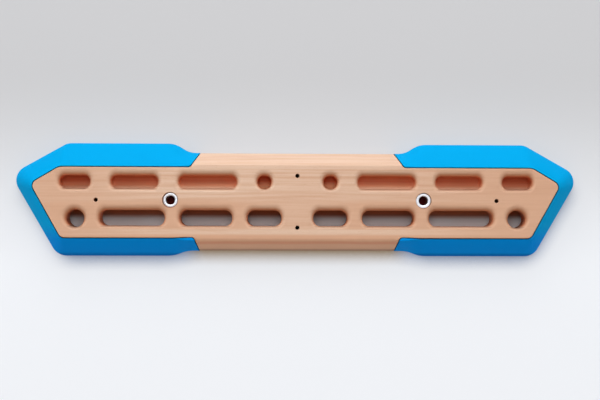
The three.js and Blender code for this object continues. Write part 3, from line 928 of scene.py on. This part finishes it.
def bolt_hole(f, side):
    """Cutter of a stepped hole for a bush and its bolt, with a rounded edge in the face"""
    low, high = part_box("right_bush")
    x, _, collar = round_seat("right_bush")
    seat = low.y + f.collar_thickness + f.fit
    counterbore = collar + f.counterbore_clearance
    sleeve = f.bore + f.sleeve_wall + f.sleeve_clearance
    profile = [
        (f.bolt_hole, OVERRUN), (f.bolt_hole, high.y + f.fit), (sleeve, high.y + f.fit), (sleeve, seat),
        (counterbore, seat), *hole_mouth(counterbore, f.counterbore_edge),
    ]
    return turned("bolt_hole", profile, x * side, 0, RING_SEGMENTS)


def wood_body(o):
    """The wood's outline with a rounded edge along the seam, before anything is cut"""
    edge = settings().edges.wood_edge
    corners = inflated(wood_corners(o), -o.seam_inset)
    rings = [facing(rounded(corners, ARC_STEPS), 0)]
    for inset, depth in quarter(EDGE_STEPS):
        outline = rounded(inflated(corners, -edge * inset), ARC_STEPS)
        rings.append(facing(outline, edge * depth - BOARD_DEPTH))
    return loft("beech_board", rings)


class HANGBOARD_OT_wood_board(bpy.types.Operator):
    """Models the beech board with its pockets, bevels, rebates and holes"""

    bl_idname = "hangboard.wood_board"
    bl_label = "Wood board"
    bl_options = {"REGISTER", "UNDO"}

    def execute(self, context):
        s = settings()
        o, f, e = s.outline, s.fixings, s.edges
        board = wood_body(o)
        cut(board, ridge_cutter("upper_bevel", o, o.ridge_top, o.core_top, e.top_ridge),
            ridge_cutter("lower_bevel", o, o.ridge_bottom, o.core_bottom, e.bottom_ridge))
        rebate = flange_outline(o, f.flange_start - f.fit, OVERRUN, f.flange_width + f.fit)
        depth = -f.flange_thickness - f.fit
        cut(board, *(prism("rebate", on_side(rebate, side), OVERRUN, depth) for side in BOTH_ENDS))
        throats = pocket_throats(s.pockets)
        cut(board, *(pocket_cutter(throat, s.pockets, side) for side in BOTH_ENDS for throat in throats))
        holes = []
        for side in BOTH_ENDS:
            holes += [bolt_hole(f, side), screw_hole(f, f.end_hole * side, 0)]
        holes += [screw_hole(f, 0, z) for z in (f.screw_hole_up, f.screw_hole_down)]
        cut(board, *holes)
        low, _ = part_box("right_grip_screw_1")
        radius = f.shank + f.fit
        pilot = [(radius, OVERRUN), (radius, low.y - f.fit)]
        places = [(x * side, z) for x, z in screw_places() for side in BOTH_ENDS]
        cut(board, *(turned("pilot", pilot, x, z, HOLE_SEGMENTS) for x, z in places))
        shade_smooth(board)
        finish_piece(board, "wood_board", beech(s.finishes))
        return {"FINISHED"}


# Grips

def countersink(f, x, z, head):
    """Cutter of a countersunk hole through a flange"""
    wide = head + f.fit
    narrow = f.shank + f.fit
    floor = -f.head_sink - f.head_edge
    profile = [
        (wide, OVERRUN), (wide, floor), (narrow, floor - (head - f.shank)),
        (narrow, -f.flange_thickness - OVERRUN),
    ]
    return turned("countersink", profile, x, z, HOLE_SEGMENTS)


class HANGBOARD_OT_grips(bpy.types.Operator):
    """Models the resin grip of the right end and mirrors it to the left"""

    bl_idname = "hangboard.grips"
    bl_label = "Resin grips"
    bl_options = {"REGISTER", "UNDO"}

    def execute(self, context):
        s = settings()
        o, f = s.outline, s.fixings
        grip = loft("right_resin_grip", outside_rings(o))
        edit(grip)
        bpy.ops.mesh.select_all(action="SELECT")
        bpy.ops.mesh.bisect(
            plane_co=(o.bottom_limb - 2 * o.top_limb_lean, 0, 0), plane_no=(1, 0, 0),
            use_fill=True, clear_inner=True)
        tidy_normals()
        tongue = rounded(inflated(wood_corners(o), o.seam_gap - o.seam_inset), ARC_STEPS)
        cut(grip, prism("tongue", tongue, OVERRUN, FRONT))
        flange = flange_outline(o, f.flange_start, o.seam_gap + f.flange_bite, f.flange_width)
        combine(grip, [prism("flange", flange, 0, -f.flange_thickness)], "UNION")
        _, _, head = round_seat("right_grip_screw_1")
        cut(grip, *(countersink(f, x, z, head) for x, z in screw_places()))
        shade_smooth(grip)
        left = copied(grip, "left_resin_grip", mirror=True)
        material = resin(s.finishes)
        finish_piece(grip, "right_grip", material)
        finish_piece(left, "left_grip", material)
        return {"FINISHED"}


# Bushes and screws

class HANGBOARD_OT_bushes(bpy.types.Operator):
    """Turns the steel bush of a wall bolt and copies it to the other end"""

    bl_idname = "hangboard.bushes"
    bl_label = "Bolt bushes"
    bl_options = {"REGISTER", "UNDO"}

    def execute(self, context):
        s = settings()
        f = s.fixings
        low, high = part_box("right_bush")
        x, _, collar = round_seat("right_bush")
        front = low.y
        back = front + f.collar_thickness
        sleeve = f.bore + f.sleeve_wall
        edge = f.collar_break
        inner = f.collar_throat
        profile = [(f.bore, high.y - edge), (f.bore, front + inner)]
        profile += [(f.bore + inner * out, front + inner * depth) for out, depth in quarter(THROAT_STEPS)[1:]]
        profile += [(collar - edge * inset, front + edge * depth) for depth, inset in quarter(EDGE_STEPS)]
        profile += [
            (collar, back - edge / 2), (collar - edge / 2, back), (sleeve, back), (sleeve, high.y - edge),
            (sleeve - edge, high.y), (f.bore + edge, high.y), (f.bore, high.y - edge),
        ]
        bush = turned("right_steel_bush", profile, x, 0, RING_SEGMENTS)
        shade_smooth(bush)
        left = copied(bush, "left_steel_bush", mirror=True)
        material = turned_steel("turned_steel", s.finishes.steel, x)
        finish_piece(bush, "right_bush", material)
        finish_piece(left, "left_bush", material)
        return {"FINISHED"}


def screw_profile(f, node):
    """Profile of a screw from its head to its point, as radius and Y"""
    low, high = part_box(node)
    _, _, head = round_seat(node)
    floor = high.y - f.head_edge
    neck = floor - (head - f.shank)
    plain = neck - f.plain_shank
    end = low.y + f.point_length
    root = f.shank - f.thread_depth
    profile = [
        (head - f.head_break, high.y), (head, high.y - f.head_break), (head, floor), (f.shank, neck),
        (f.shank, plain),
    ]
    crest = plain - f.thread_pitch
    while crest > end:
        profile += [
            (root, crest + GROOVE_START_SHARE * f.thread_pitch),
            (root, crest + GROOVE_END_SHARE * f.thread_pitch), (f.shank, crest),
        ]
        crest -= f.thread_pitch
    return [*profile, (root, end), (f.tip_start, low.y + f.tip_length), (f.tip, low.y)]


def drive_cutter(f, node):
    """Cutter of the recess in a screw's head, which narrows at its floor"""
    _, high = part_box(node)
    x, z, _ = round_seat(node)
    lobes = []
    for step in range(HOLE_SEGMENTS):
        angle = 2 * math.pi * step / HOLE_SEGMENTS
        radius = lerp(f.drive_waist, f.drive, (1 + math.cos(LOBES * angle)) / 2)
        lobes.append(Vector((x + radius * math.cos(angle), z + radius * math.sin(angle))))
    floor = [lerp(Vector((x, z)), point, DRIVE_FLOOR_SHARE) for point in lobes]
    rings = [
        facing(lobes, OVERRUN), facing(lobes, high.y - DRIVE_WALL_SHARE * f.drive_depth),
        facing(floor, high.y - f.drive_depth),
    ]
    return loft("drive", rings)


class HANGBOARD_OT_screws(bpy.types.Operator):
    """Turns one countersunk wood screw with its thread and six-lobed recess, and copies it to every hole"""

    bl_idname = "hangboard.screws"
    bl_label = "Grip screws"
    bl_options = {"REGISTER", "UNDO"}

    def execute(self, context):
        s = settings()
        f = s.fixings
        first = "right_grip_screw_1"
        x, z, _ = round_seat(first)
        screw = turned("grip_screw", screw_profile(f, first), x, z, HOLE_SEGMENTS)
        cut(screw, drive_cutter(f, first))
        shade_smooth(screw)
        material = turned_steel("zinc_plated_steel", s.finishes.zinc, x)
        screws = {first: screw}
        for side in ("right", "left"):
            for number in range(1, GRIP_SCREWS + 1):
                node = f"{side}_grip_screw_{number}"
                if node == first:
                    continue
                there_x, there_z, _ = round_seat(node)
                screws[node] = copied(screw, f"{node}_zinc", shift=(there_x - x, 0, there_z - z))
        screw.name = f"{first}_zinc"
        for node, piece in screws.items():
            finish_piece(piece, node, material)
        return {"FINISHED"}


# Materials

class Signal:
    """A number that runs through a material: arithmetic on it adds Math nodes"""

    def __init__(self, finish, socket):
        self.finish = finish
        self.socket = socket

    def math(self, operation, *values):
        """A Math node on this number"""
        return self.finish.node("ShaderNodeMath", {"operation": operation}, dict(enumerate(values)))["Value"]

    def __add__(self, other):
        return self.math("ADD", self, other)

    def __sub__(self, other):
        return self.math("SUBTRACT", self, other)

    def __mul__(self, other):
        return self.math("MULTIPLY", self, other)

    def __truediv__(self, other):
        return self.math("DIVIDE", self, other)

    def __pow__(self, other):
        return self.math("POWER", self, other)

    def __radd__(self, other):
        return self.math("ADD", other, self)

    def __rsub__(self, other):
        return self.math("SUBTRACT", other, self)

    def __rmul__(self, other):
        return self.math("MULTIPLY", other, self)

    def __abs__(self):
        return self.math("ABSOLUTE", self)

    def root(self):
        """Square root"""
        return self.math("SQRT", self)

    def fraction(self):
        """What is left over the whole number"""
        return self.math("FRACT", self)

    def least(self, other):
        """The smaller of this number and another"""
        return self.math("MINIMUM", self, other)

    def most(self, other):
        """The larger of this number and another"""
        return self.math("MAXIMUM", self, other)

    def step(self, low, high):
        """Smooth step from nothing at one value to all at another"""
        return self.finish.node(
            "ShaderNodeMapRange", {"interpolation_type": "SMOOTHSTEP"},
            {"Value": self, "From Min": low, "From Max": high})["Result"]

    def over(self, start, fade):
        """Nothing up to a start, and all from its fade upward"""
        return self.step(start, start + fade)

    def under(self, start, fade):
        """Nothing down to a start, and all from its fade downward"""
        return (start - self).step(0.0, fade)


class Finish:
    """The nodes of one material, or of the world"""

    def __init__(self, owner):
        owner.use_nodes = True
        self.owner = owner
        self.tree = owner.node_tree
        self.tree.nodes.clear()

    def node(self, kind, options=None, sockets=None):
        """A node with its options and the values or links of its sockets; gives its outputs by name"""
        node = self.tree.nodes.new(kind)
        for key, value in (options or {}).items():
            if key == "stops":
                self.set_stops(node.color_ramp.elements, value)
            else:
                setattr(node, key, value)
        for key, value in (sockets or {}).items():
            if isinstance(value, Signal):
                self.tree.links.new(value.socket, node.inputs[key])
            else:
                node.inputs[key].default_value = value
        return {socket.name: Signal(self, socket) for socket in node.outputs if socket.enabled}

    def set_stops(self, elements, stops):
        """Sets the stops of a colour ramp: places and colours"""
        for position, colour in stops[1:-1]:
            elements.new(position).color = rgba(colour)
        for element, (position, colour) in ((elements[0], stops[0]), (elements[-1], stops[-1])):
            element.position = position
            element.color = rgba(colour)

    def ramp(self, number, stops):
        """A colour that follows a number through stops: numbers and colours"""
        low, high = stops[0][0], stops[-1][0]
        shares = [((value - low) / (high - low), colour) for value, colour in stops]
        along = (number - low) / (high - low)
        return self.node("ShaderNodeValToRGB", {"stops": shares}, {"Fac": along})["Color"]

    def coordinates(self):
        """Object coordinates, as a vector and as three numbers"""
        vector = self.node("ShaderNodeTexCoord")["Object"]
        parts = self.node("ShaderNodeSeparateXYZ", None, {0: vector})
        return vector, parts["X"], parts["Y"], parts["Z"]

    def vector(self, x, y, z):
        """A vector of three numbers"""
        return self.node("ShaderNodeCombineXYZ", None, {"X": x, "Y": y, "Z": z})["Vector"]

    def noise(self, vector, scale, detail=2.0, roughness=0.5):
        """A noise texture between nothing and all"""
        sockets = {"Vector": vector, "Scale": scale, "Detail": detail, "Roughness": roughness}
        return self.node("ShaderNodeTexNoise", None, sockets)["Fac"]

    def mix(self, factor, a, b, blend="MIX"):
        """A mix of two colours"""
        return self.node(
            "ShaderNodeMix", {"data_type": "RGBA", "blend_type": blend, "clamp_factor": True},
            {0: factor, 6: rgba(a), 7: rgba(b)})["Result"]

    def softened(self, radius):
        """The surface's direction with its sharp edges rounded off"""
        return self.node("ShaderNodeBevel", {"samples": 6}, {"Radius": radius})["Normal"]

    def bump(self, height, strength, distance, base=None):
        """Relief from a height, on the plain surface or on another direction"""
        sockets = {"Height": height, "Strength": strength, "Distance": distance}
        if base:
            sockets["Normal"] = base
        return self.node("ShaderNodeBump", None, sockets)["Normal"]

    def shade(self, **sockets):
        """The surface shader and the output"""
        named = {key.replace("_", " "): value for key, value in sockets.items()}
        shader = self.node("ShaderNodeBsdfPrincipled", None, named)["BSDF"]
        self.node("ShaderNodeOutputMaterial", None, {"Surface": shader})
        return self.owner


def new_finish(name):
    """The empty nodes of a new material"""
    return Finish(bpy.data.materials.new(name))


def tones(colours, table):
    """Stops of a ramp, from heights in millimetres and the names of the colours there"""
    return [(height * MM, getattr(colours, name)) for height, name in table]


def rgba(colour):
    """A colour with its fourth number, or a link as it is"""
    return colour if isinstance(colour, Signal) else (*colour[:3], 1.0)


def beech(c):
    """Fine sanded, unlacquered beech: growth rings, soft streaks and short flecks, with painted shade and
    painted light in the pockets, painted shade on their mouths and lips, between the rows and low on the
    face, and darker towards the ends
    """
    m = new_finish("fine_sanded_beech")
    _, x, y, z = m.coordinates()

    def grain(along, across, detail=2.0, roughness=0.5):
        """Noise at a scale along the board and another across it"""
        return m.noise(m.vector(x * along, y * across, z * across), 1.0, detail, roughness)

    sway = grain(*SWAY) - 0.5
    ripple = grain(*RIPPLE) - 0.5
    above = z + PITH_BELOW + sway * RING_SWAY + ripple * RING_RIPPLE
    before = y - PITH_BEHIND + sway * RING_SWAY_DEEP
    turns = (above * above + before * before).root() / c.ring_spacing
    ring = (turns + grain(*UNEVENNESS) * 1.6).fraction()
    late = ring.step(0.55, 0.93) * (1 - ring.step(0.95, 1.0))
    streak = grain(*STREAKS)
    fine = grain(*FINE_GRAIN)
    fleck = grain(*FLECKS).step(0.66, 0.76)
    stripe = grain(*STRIPES)
    dark = late * 0.14 + streak.step(0.40, 0.76) * 0.50 + stripe.step(0.45, 0.75) * 0.28 + (fine - 0.5) * 0.60
    dark = dark + grain(*BROAD_TONES).step(0.40, 0.68) * 0.30
    colour = m.mix(dark, c.wood_light, c.wood_dark)
    colour = m.mix(fleck * 0.34, colour, c.wood_fleck)
    # painted shade between the rows and low on the face, and darker towards the ends
    between = z.under(*ROW_SHADE_TOP) * (1 - z.under(*ROW_SHADE_FOOT))
    warm = between * (0.35 + abs(x).over(*ROW_SHADE_MIDDLE) * 0.45) + z.under(*LOW_EDGE_SHADE) * 0.95
    warm = warm.most(x.over(*WARM_RIGHT) * 0.8).most(x.under(*WARM_LEFT) * 0.6)
    colour = m.mix(warm, colour, m.mix(dark, c.wood_low, c.wood_dark))
    wander = m.noise(m.vector(x * LINE_WAVES, 0.0, 0.0), 1.0) - 0.5
    line = 1 - abs(z - LINE_HEIGHT + wander * LINE_WANDER).over(*LINE)
    colour = m.mix(line * 0.30, colour, c.wood_shaded)
    # painted shade along the lower rim
    colour = m.mix(z.under(*DARK_RIM) * 0.9, colour, c.wood_edge)
    behind = y + BOARD_DEPTH
    rows = (1 - abs(z).over(*ROWS)) * (1 - y.over(*BACK_EDGE))
    inside = behind.over(*INSIDE) * rows
    upper = z.over(*UPPER_ROW)
    below = z.under(*LOWER_LIP) * 0.65 + z.under(*UPPER_LIP) * upper * 0.4
    lip = behind.over(*LIP) * rows * below
    # painted shade on the pockets' rounded mouths
    mouth = 1 - behind.over(*MOUTH)
    # painted shade high in each pocket and painted light lower down, by height
    pocket_light_and_shade = m.ramp(z, tones(c, POCKET_TONES))
    # painted light low in the narrow pockets near the middle
    narrow = (1 - abs(x).over(*ROUND_POCKETS)) * upper * z.under(*ROUND_GLOW)
    pocket_light_and_shade = m.mix(narrow * 0.8, pocket_light_and_shade, c.wood_narrow_pocket_light)
    pocket_light_and_shade = m.mix(mouth * 0.75, pocket_light_and_shade, c.wood_mouth_shade)
    scorched = [lerp(a, b, 0.5) for a, b in zip(c.wood_shaded, c.wood_edge)]
    pocket_light_and_shade = m.mix(streak.step(0.45, 0.75) * 0.30, pocket_light_and_shade, scorched)
    colour = m.mix(inside * (0.8 + streak * 0.3), colour, pocket_light_and_shade)
    # painted shade along the pockets' lower lips
    colour = m.mix(lip, colour, c.wood_edge)
    height = fine * 0.5 + streak * 0.35 - fleck * 0.6 - late * 0.25
    rough = 0.52 + fine * 0.12 + fleck * 0.1 + late * 0.05
    return m.shade(
        Base_Color=colour, Roughness=rough, Specular_IOR_Level=0.25,
        Normal=m.bump(height, c.grain_depth, GRAIN_RELIEF, m.softened(WOOD_SOFTNESS)))


def resin(c):
    """Cast resin with a fine grip texture: pores, specks and a soft mottle"""
    m = new_finish("textured_cast_resin")
    vector, _, _, z = m.coordinates()
    grit = m.noise(vector, *GRIT)
    pebble = m.noise(vector, *PEBBLES)
    mottle = m.noise(vector, *MOTTLE)
    pore = (1 - grit).step(0.60, 0.74)
    deep = pore * 0.45 + (mottle - 0.5) * 0.35 + (pebble - 0.5) * 0.25
    colour = m.mix(deep, c.resin, c.resin_deep)
    # painted shade along the lower limbs
    colour = m.mix(z.under(*RESIN_LOW) * 0.8, colour, c.resin_low_shade)
    # painted shade along the lower rim
    colour = m.mix(z.under(*RESIN_RIM_SHADE) * 0.9, colour, c.resin_rim_shade)
    height = grit * 0.5 + pebble * 0.5 - pore * 0.3
    return m.shade(
        Base_Color=colour, Roughness=0.50 + grit * 0.16 + pore * 0.1, Specular_IOR_Level=0.02,
        Normal=m.bump(height, c.resin_texture, RESIN_RELIEF, m.softened(RESIN_SOFTNESS)))


def turned_steel(name, tone, centre):
    """Metal turned on a lathe: fine rings about each axis, and a little tarnish"""
    m = new_finish(name)
    vector, x, y, z = m.coordinates()
    arm = abs(x) - centre
    radius = (arm * arm + z * z).root()
    outward, along = LATHE
    rings = m.noise(m.vector(radius * outward, y * along, 0.0), 1.0, 2.0, 0.6)
    tarnish = m.noise(vector, *STAINS)
    dull = [part * TARNISH for part in tone]
    colour = m.mix(tarnish.step(0.45, 0.8) * 0.30 + rings * 0.10, tone, dull)
    return m.shade(
        Base_Color=colour, Metallic=1.0, Roughness=0.24 + rings * 0.12 + tarnish * 0.10,
        Normal=m.bump(rings, *LATHE_RELIEF))


# Stage

def seen_directly(m):
    """One for what the camera sees, itself or as a reflection, and nothing for other light"""
    path = m.node("ShaderNodeLightPath")
    return path["Is Camera Ray"].most(path["Is Glossy Ray"])


def one_sided(m, shader):
    """A stage surface that isn't there for rays which came through its back"""
    back = m.node("ShaderNodeNewGeometry")["Backfacing"]
    through = m.node("ShaderNodeLightPath")["Transparent Depth"]
    clear = m.node("ShaderNodeBsdfTransparent")["BSDF"]
    hidden = (back + through).least(1.0)
    return m.node("ShaderNodeMixShader", None, {0: hidden, 1: shader, 2: clear})["Shader"]


def matt_paint(name, s, high, low, even):
    """Matt paint between two colours, with a roller's faint texture. Part of it shows its plain colour
    with a painted shadow close under the board only, so that the lamps' long shadows stay faint. Behind
    the pockets it is all lit paint, coloured with painted shade and painted light, and with painted shade
    behind each bolt."""
    m = new_finish(name)
    vector, x, _, z = m.coordinates()
    colour = m.mix(z.under(*WALL_FADE), high, low)
    pockets = (1 - abs(x).over(*WALL_POCKETS)) * (1 - abs(z).over(*WALL_ROWS))
    if even:
        arm = abs(x) - round_seat("right_bush")[0]
        bolt = 1 - (arm * arm + z * z).root().over(*BOLT_SHADE)
        # behind the pockets: painted shade and light by height, and painted shade behind each bolt
        colour = m.mix(pockets, colour, m.mix(bolt, m.ramp(z, tones(s, WALL_TONES)), s.bolt_bore_shade))
    relief = m.bump(m.noise(vector, *NAP), *NAP_RELIEF)
    shader = m.node("ShaderNodeBsdfDiffuse", None, {"Color": colour, "Normal": relief})["BSDF"]
    if even:
        # a painted shadow close under the board, from the wall's occlusion, shown to the camera as plain
        # colour
        near = m.node(
            "ShaderNodeAmbientOcclusion", {"samples": 16},
            {"Distance": s.shade_reach, "Normal": m.vector(*SHADE_FROM)})["AO"]
        shade = m.mix(abs(x).over(*RESIN_SHADE), s.shade_wood, s.shade_resin)
        dark = ((1 - near) ** SHADE_FALL * SHADE_STRENGTH).least(1.0)
        shaded = m.mix(dark, colour, m.mix(1.0, shade, colour, "MULTIPLY"))
        plain = m.node("ShaderNodeEmission", None, {"Color": shaded})["Emission"]
        evened = seen_directly(m) * (1 - pockets) * even
        shader = m.node("ShaderNodeMixShader", None, {0: evened, 1: shader, 2: plain})["Shader"]
    m.node("ShaderNodeOutputMaterial", None, {"Surface": one_sided(m, shader)})
    return m.owner


def even_light(s):
    """The same light from all sides, and a pale surrounding for the camera and for reflections"""
    m = Finish(bpy.data.worlds.new("even_light"))
    skies = [
        m.node("ShaderNodeBackground", None, {"Color": rgba(colour), "Strength": strength})["Background"]
        for colour, strength in ((s.ambient_tint, s.ambient), (s.surround, 1.0))]
    both = m.node("ShaderNodeMixShader", None, {0: seen_directly(m), 1: skies[0], 2: skies[1]})["Shader"]
    m.node("ShaderNodeOutputWorld", None, {"Surface": both})
    return m.owner


def lamp(name, elevation, turn, distance, width, height, level, colour):
    """A soft lamp that looks at the middle of the board, from an elevation and a turn in degrees"""
    up, beside = math.radians(elevation), math.radians(turn)
    away = Vector((math.cos(up) * math.sin(beside), -math.cos(up) * math.cos(beside), math.sin(up)))
    data = bpy.data.lights.new(name, "AREA")
    data.shape = "RECTANGLE"
    data.size = width
    data.size_y = height
    data.color = colour
    data.energy = level * (math.pi * distance) ** 2
    light = bpy.data.objects.new(name, data)
    bpy.context.scene.collection.objects.link(light)
    light.location = away * distance
    light.rotation_euler = away.to_track_quat("Z", "Y").to_euler()


def photo_camera(s):
    """The camera of the photo: a little turned, tilted and rolled, with its lens shifted to the left"""
    data = bpy.data.cameras.new("photo_camera")
    data.lens = s.lens
    data.sensor_width = SENSOR_WIDTH
    data.sensor_fit = "HORIZONTAL"
    data.shift_x = -s.shift
    data.clip_start = NEAREST
    data.clip_end = FARTHEST
    camera = bpy.data.objects.new("photo_camera", data)
    bpy.context.scene.collection.objects.link(camera)
    turn = Matrix.Rotation(-s.yaw, 4, "Z")
    tilt = Matrix.Rotation(math.pi / 2 + s.pitch, 4, "X")
    aim = turn @ tilt @ Matrix.Rotation(s.roll, 4, "Z")
    spot = Matrix.Translation((s.camera_x, -BOARD_DEPTH - s.camera_distance, s.camera_z))
    camera.matrix_world = spot @ aim
    return camera


class HANGBOARD_OT_stage(bpy.types.Operator):
    """Sets the backdrop, the floor, the lamps and the camera"""

    bl_idname = "hangboard.stage"
    bl_label = "Stage"
    bl_options = {"REGISTER", "UNDO"}

    def execute(self, context):
        s = settings().stage
        scene = context.scene
        deselect_all()
        middle = (0, s.wall_gap, FLOOR_LEVEL + WALL_HEIGHT / 2)
        bpy.ops.mesh.primitive_plane_add(size=1, location=middle, rotation=(math.pi / 2, 0, 0))
        wall = bpy.context.object
        wall.name = "backdrop_wall"
        bpy.ops.object.mode_set(mode="EDIT")
        bpy.ops.transform.resize(value=(WALL_WIDTH, 1, WALL_HEIGHT))
        take(wall)
        bpy.ops.object.transform_apply(location=True, rotation=True, scale=True)
        deselect_all()
        middle = (0, s.wall_gap - WALL_WIDTH / 2, FLOOR_LEVEL)
        bpy.ops.mesh.primitive_plane_add(size=WALL_WIDTH, location=middle)
        floor = bpy.context.object
        floor.name = "pale_floor"
        wall.data.materials.append(matt_paint("matt_wall_paint", s, s.wall_high, s.wall_low, s.even_wall))
        floor.data.materials.append(matt_paint("matt_floor_paint", s, s.floor, s.floor, 0.0))
        # Name, elevation, turn, distance, width, height, level and colour
        lamps = (
            ("front_lamp", 12, 0, 2.5, 1.3, 0.7, s.front_level, s.plain_tint),
            ("key_lamp", 50, -4, 2.0, 1.8, 1.3, s.key_level, s.plain_tint),
            ("top_lamp", 76, 0, 1.9, 1.8, 0.6, s.top_level, s.plain_tint),
            ("low_lamp", -38, 0, 1.9, 1.6, 0.5, s.low_level, s.warm_tint),
            ("left_lamp", 6, -64, 2.0, 0.9, 0.9, s.left_level, s.cool_tint),
            ("right_lamp", 6, 64, 2.0, 0.9, 0.9, s.right_level, s.cool_tint),
            ("back_lamp", 30, 170, 1.8, 1.6, 0.9, s.back_level, s.plain_tint),
        )
        for row in lamps:
            lamp(*row)
        scene.world = even_light(s)
        scene.view_settings.view_transform = "Standard"
        scene.camera = photo_camera(s)
        return {"FINISHED"}


# Panel and registration

GROUPS = (
    ("outline", "Outline"), ("pockets", "Pockets"), ("edges", "Edges"),
    ("fixings", "Fixings"), ("finishes", "Finishes"), ("stage", "Stage"),
)
OPERATORS = (
    HANGBOARD_OT_wood_board, HANGBOARD_OT_grips, HANGBOARD_OT_bushes, HANGBOARD_OT_screws, HANGBOARD_OT_stage,
)


class HANGBOARD_PT_panel(bpy.types.Panel):
    """Sizes, colours and pieces of the hangboard"""

    bl_idname = "HANGBOARD_PT_panel"
    bl_label = "Hangboard"
    bl_space_type = "VIEW_3D"
    bl_region_type = "UI"
    bl_category = "Hangboard"

    def draw(self, context):
        for operator in OPERATORS:
            self.layout.operator(operator.bl_idname)
        for name, label in GROUPS:
            values = getattr(context.scene.hangboard, name)
            box = self.layout.box()
            box.label(text=label)
            for key in values.bl_rna.properties.keys():
                if key not in ("rna_type", "name"):
                    box.prop(values, key)


CLASSES = (
    HangboardOutline, HangboardPockets, HangboardEdges, HangboardFixings, HangboardFinishes, HangboardStage,
    HangboardSettings, *OPERATORS, HANGBOARD_PT_panel,
)


def register():
    """Registers the classes and the settings"""
    for cls in CLASSES:
        bpy.utils.register_class(cls)
    bpy.types.Scene.hangboard = bpy.props.PointerProperty(
        type=HangboardSettings, name="Hangboard", description="Settings of the hangboard")


def unregister():
    """Removes the settings and the classes"""
    del bpy.types.Scene.hangboard
    for cls in reversed(CLASSES):
        bpy.utils.unregister_class(cls)


def main():
    register()
    bpy.ops.hangboard.stage()
    bpy.ops.hangboard.wood_board()
    bpy.ops.hangboard.grips()
    bpy.ops.hangboard.bushes()
    bpy.ops.hangboard.screws()
    deselect_all()


if __name__ == "__main__":
    main()
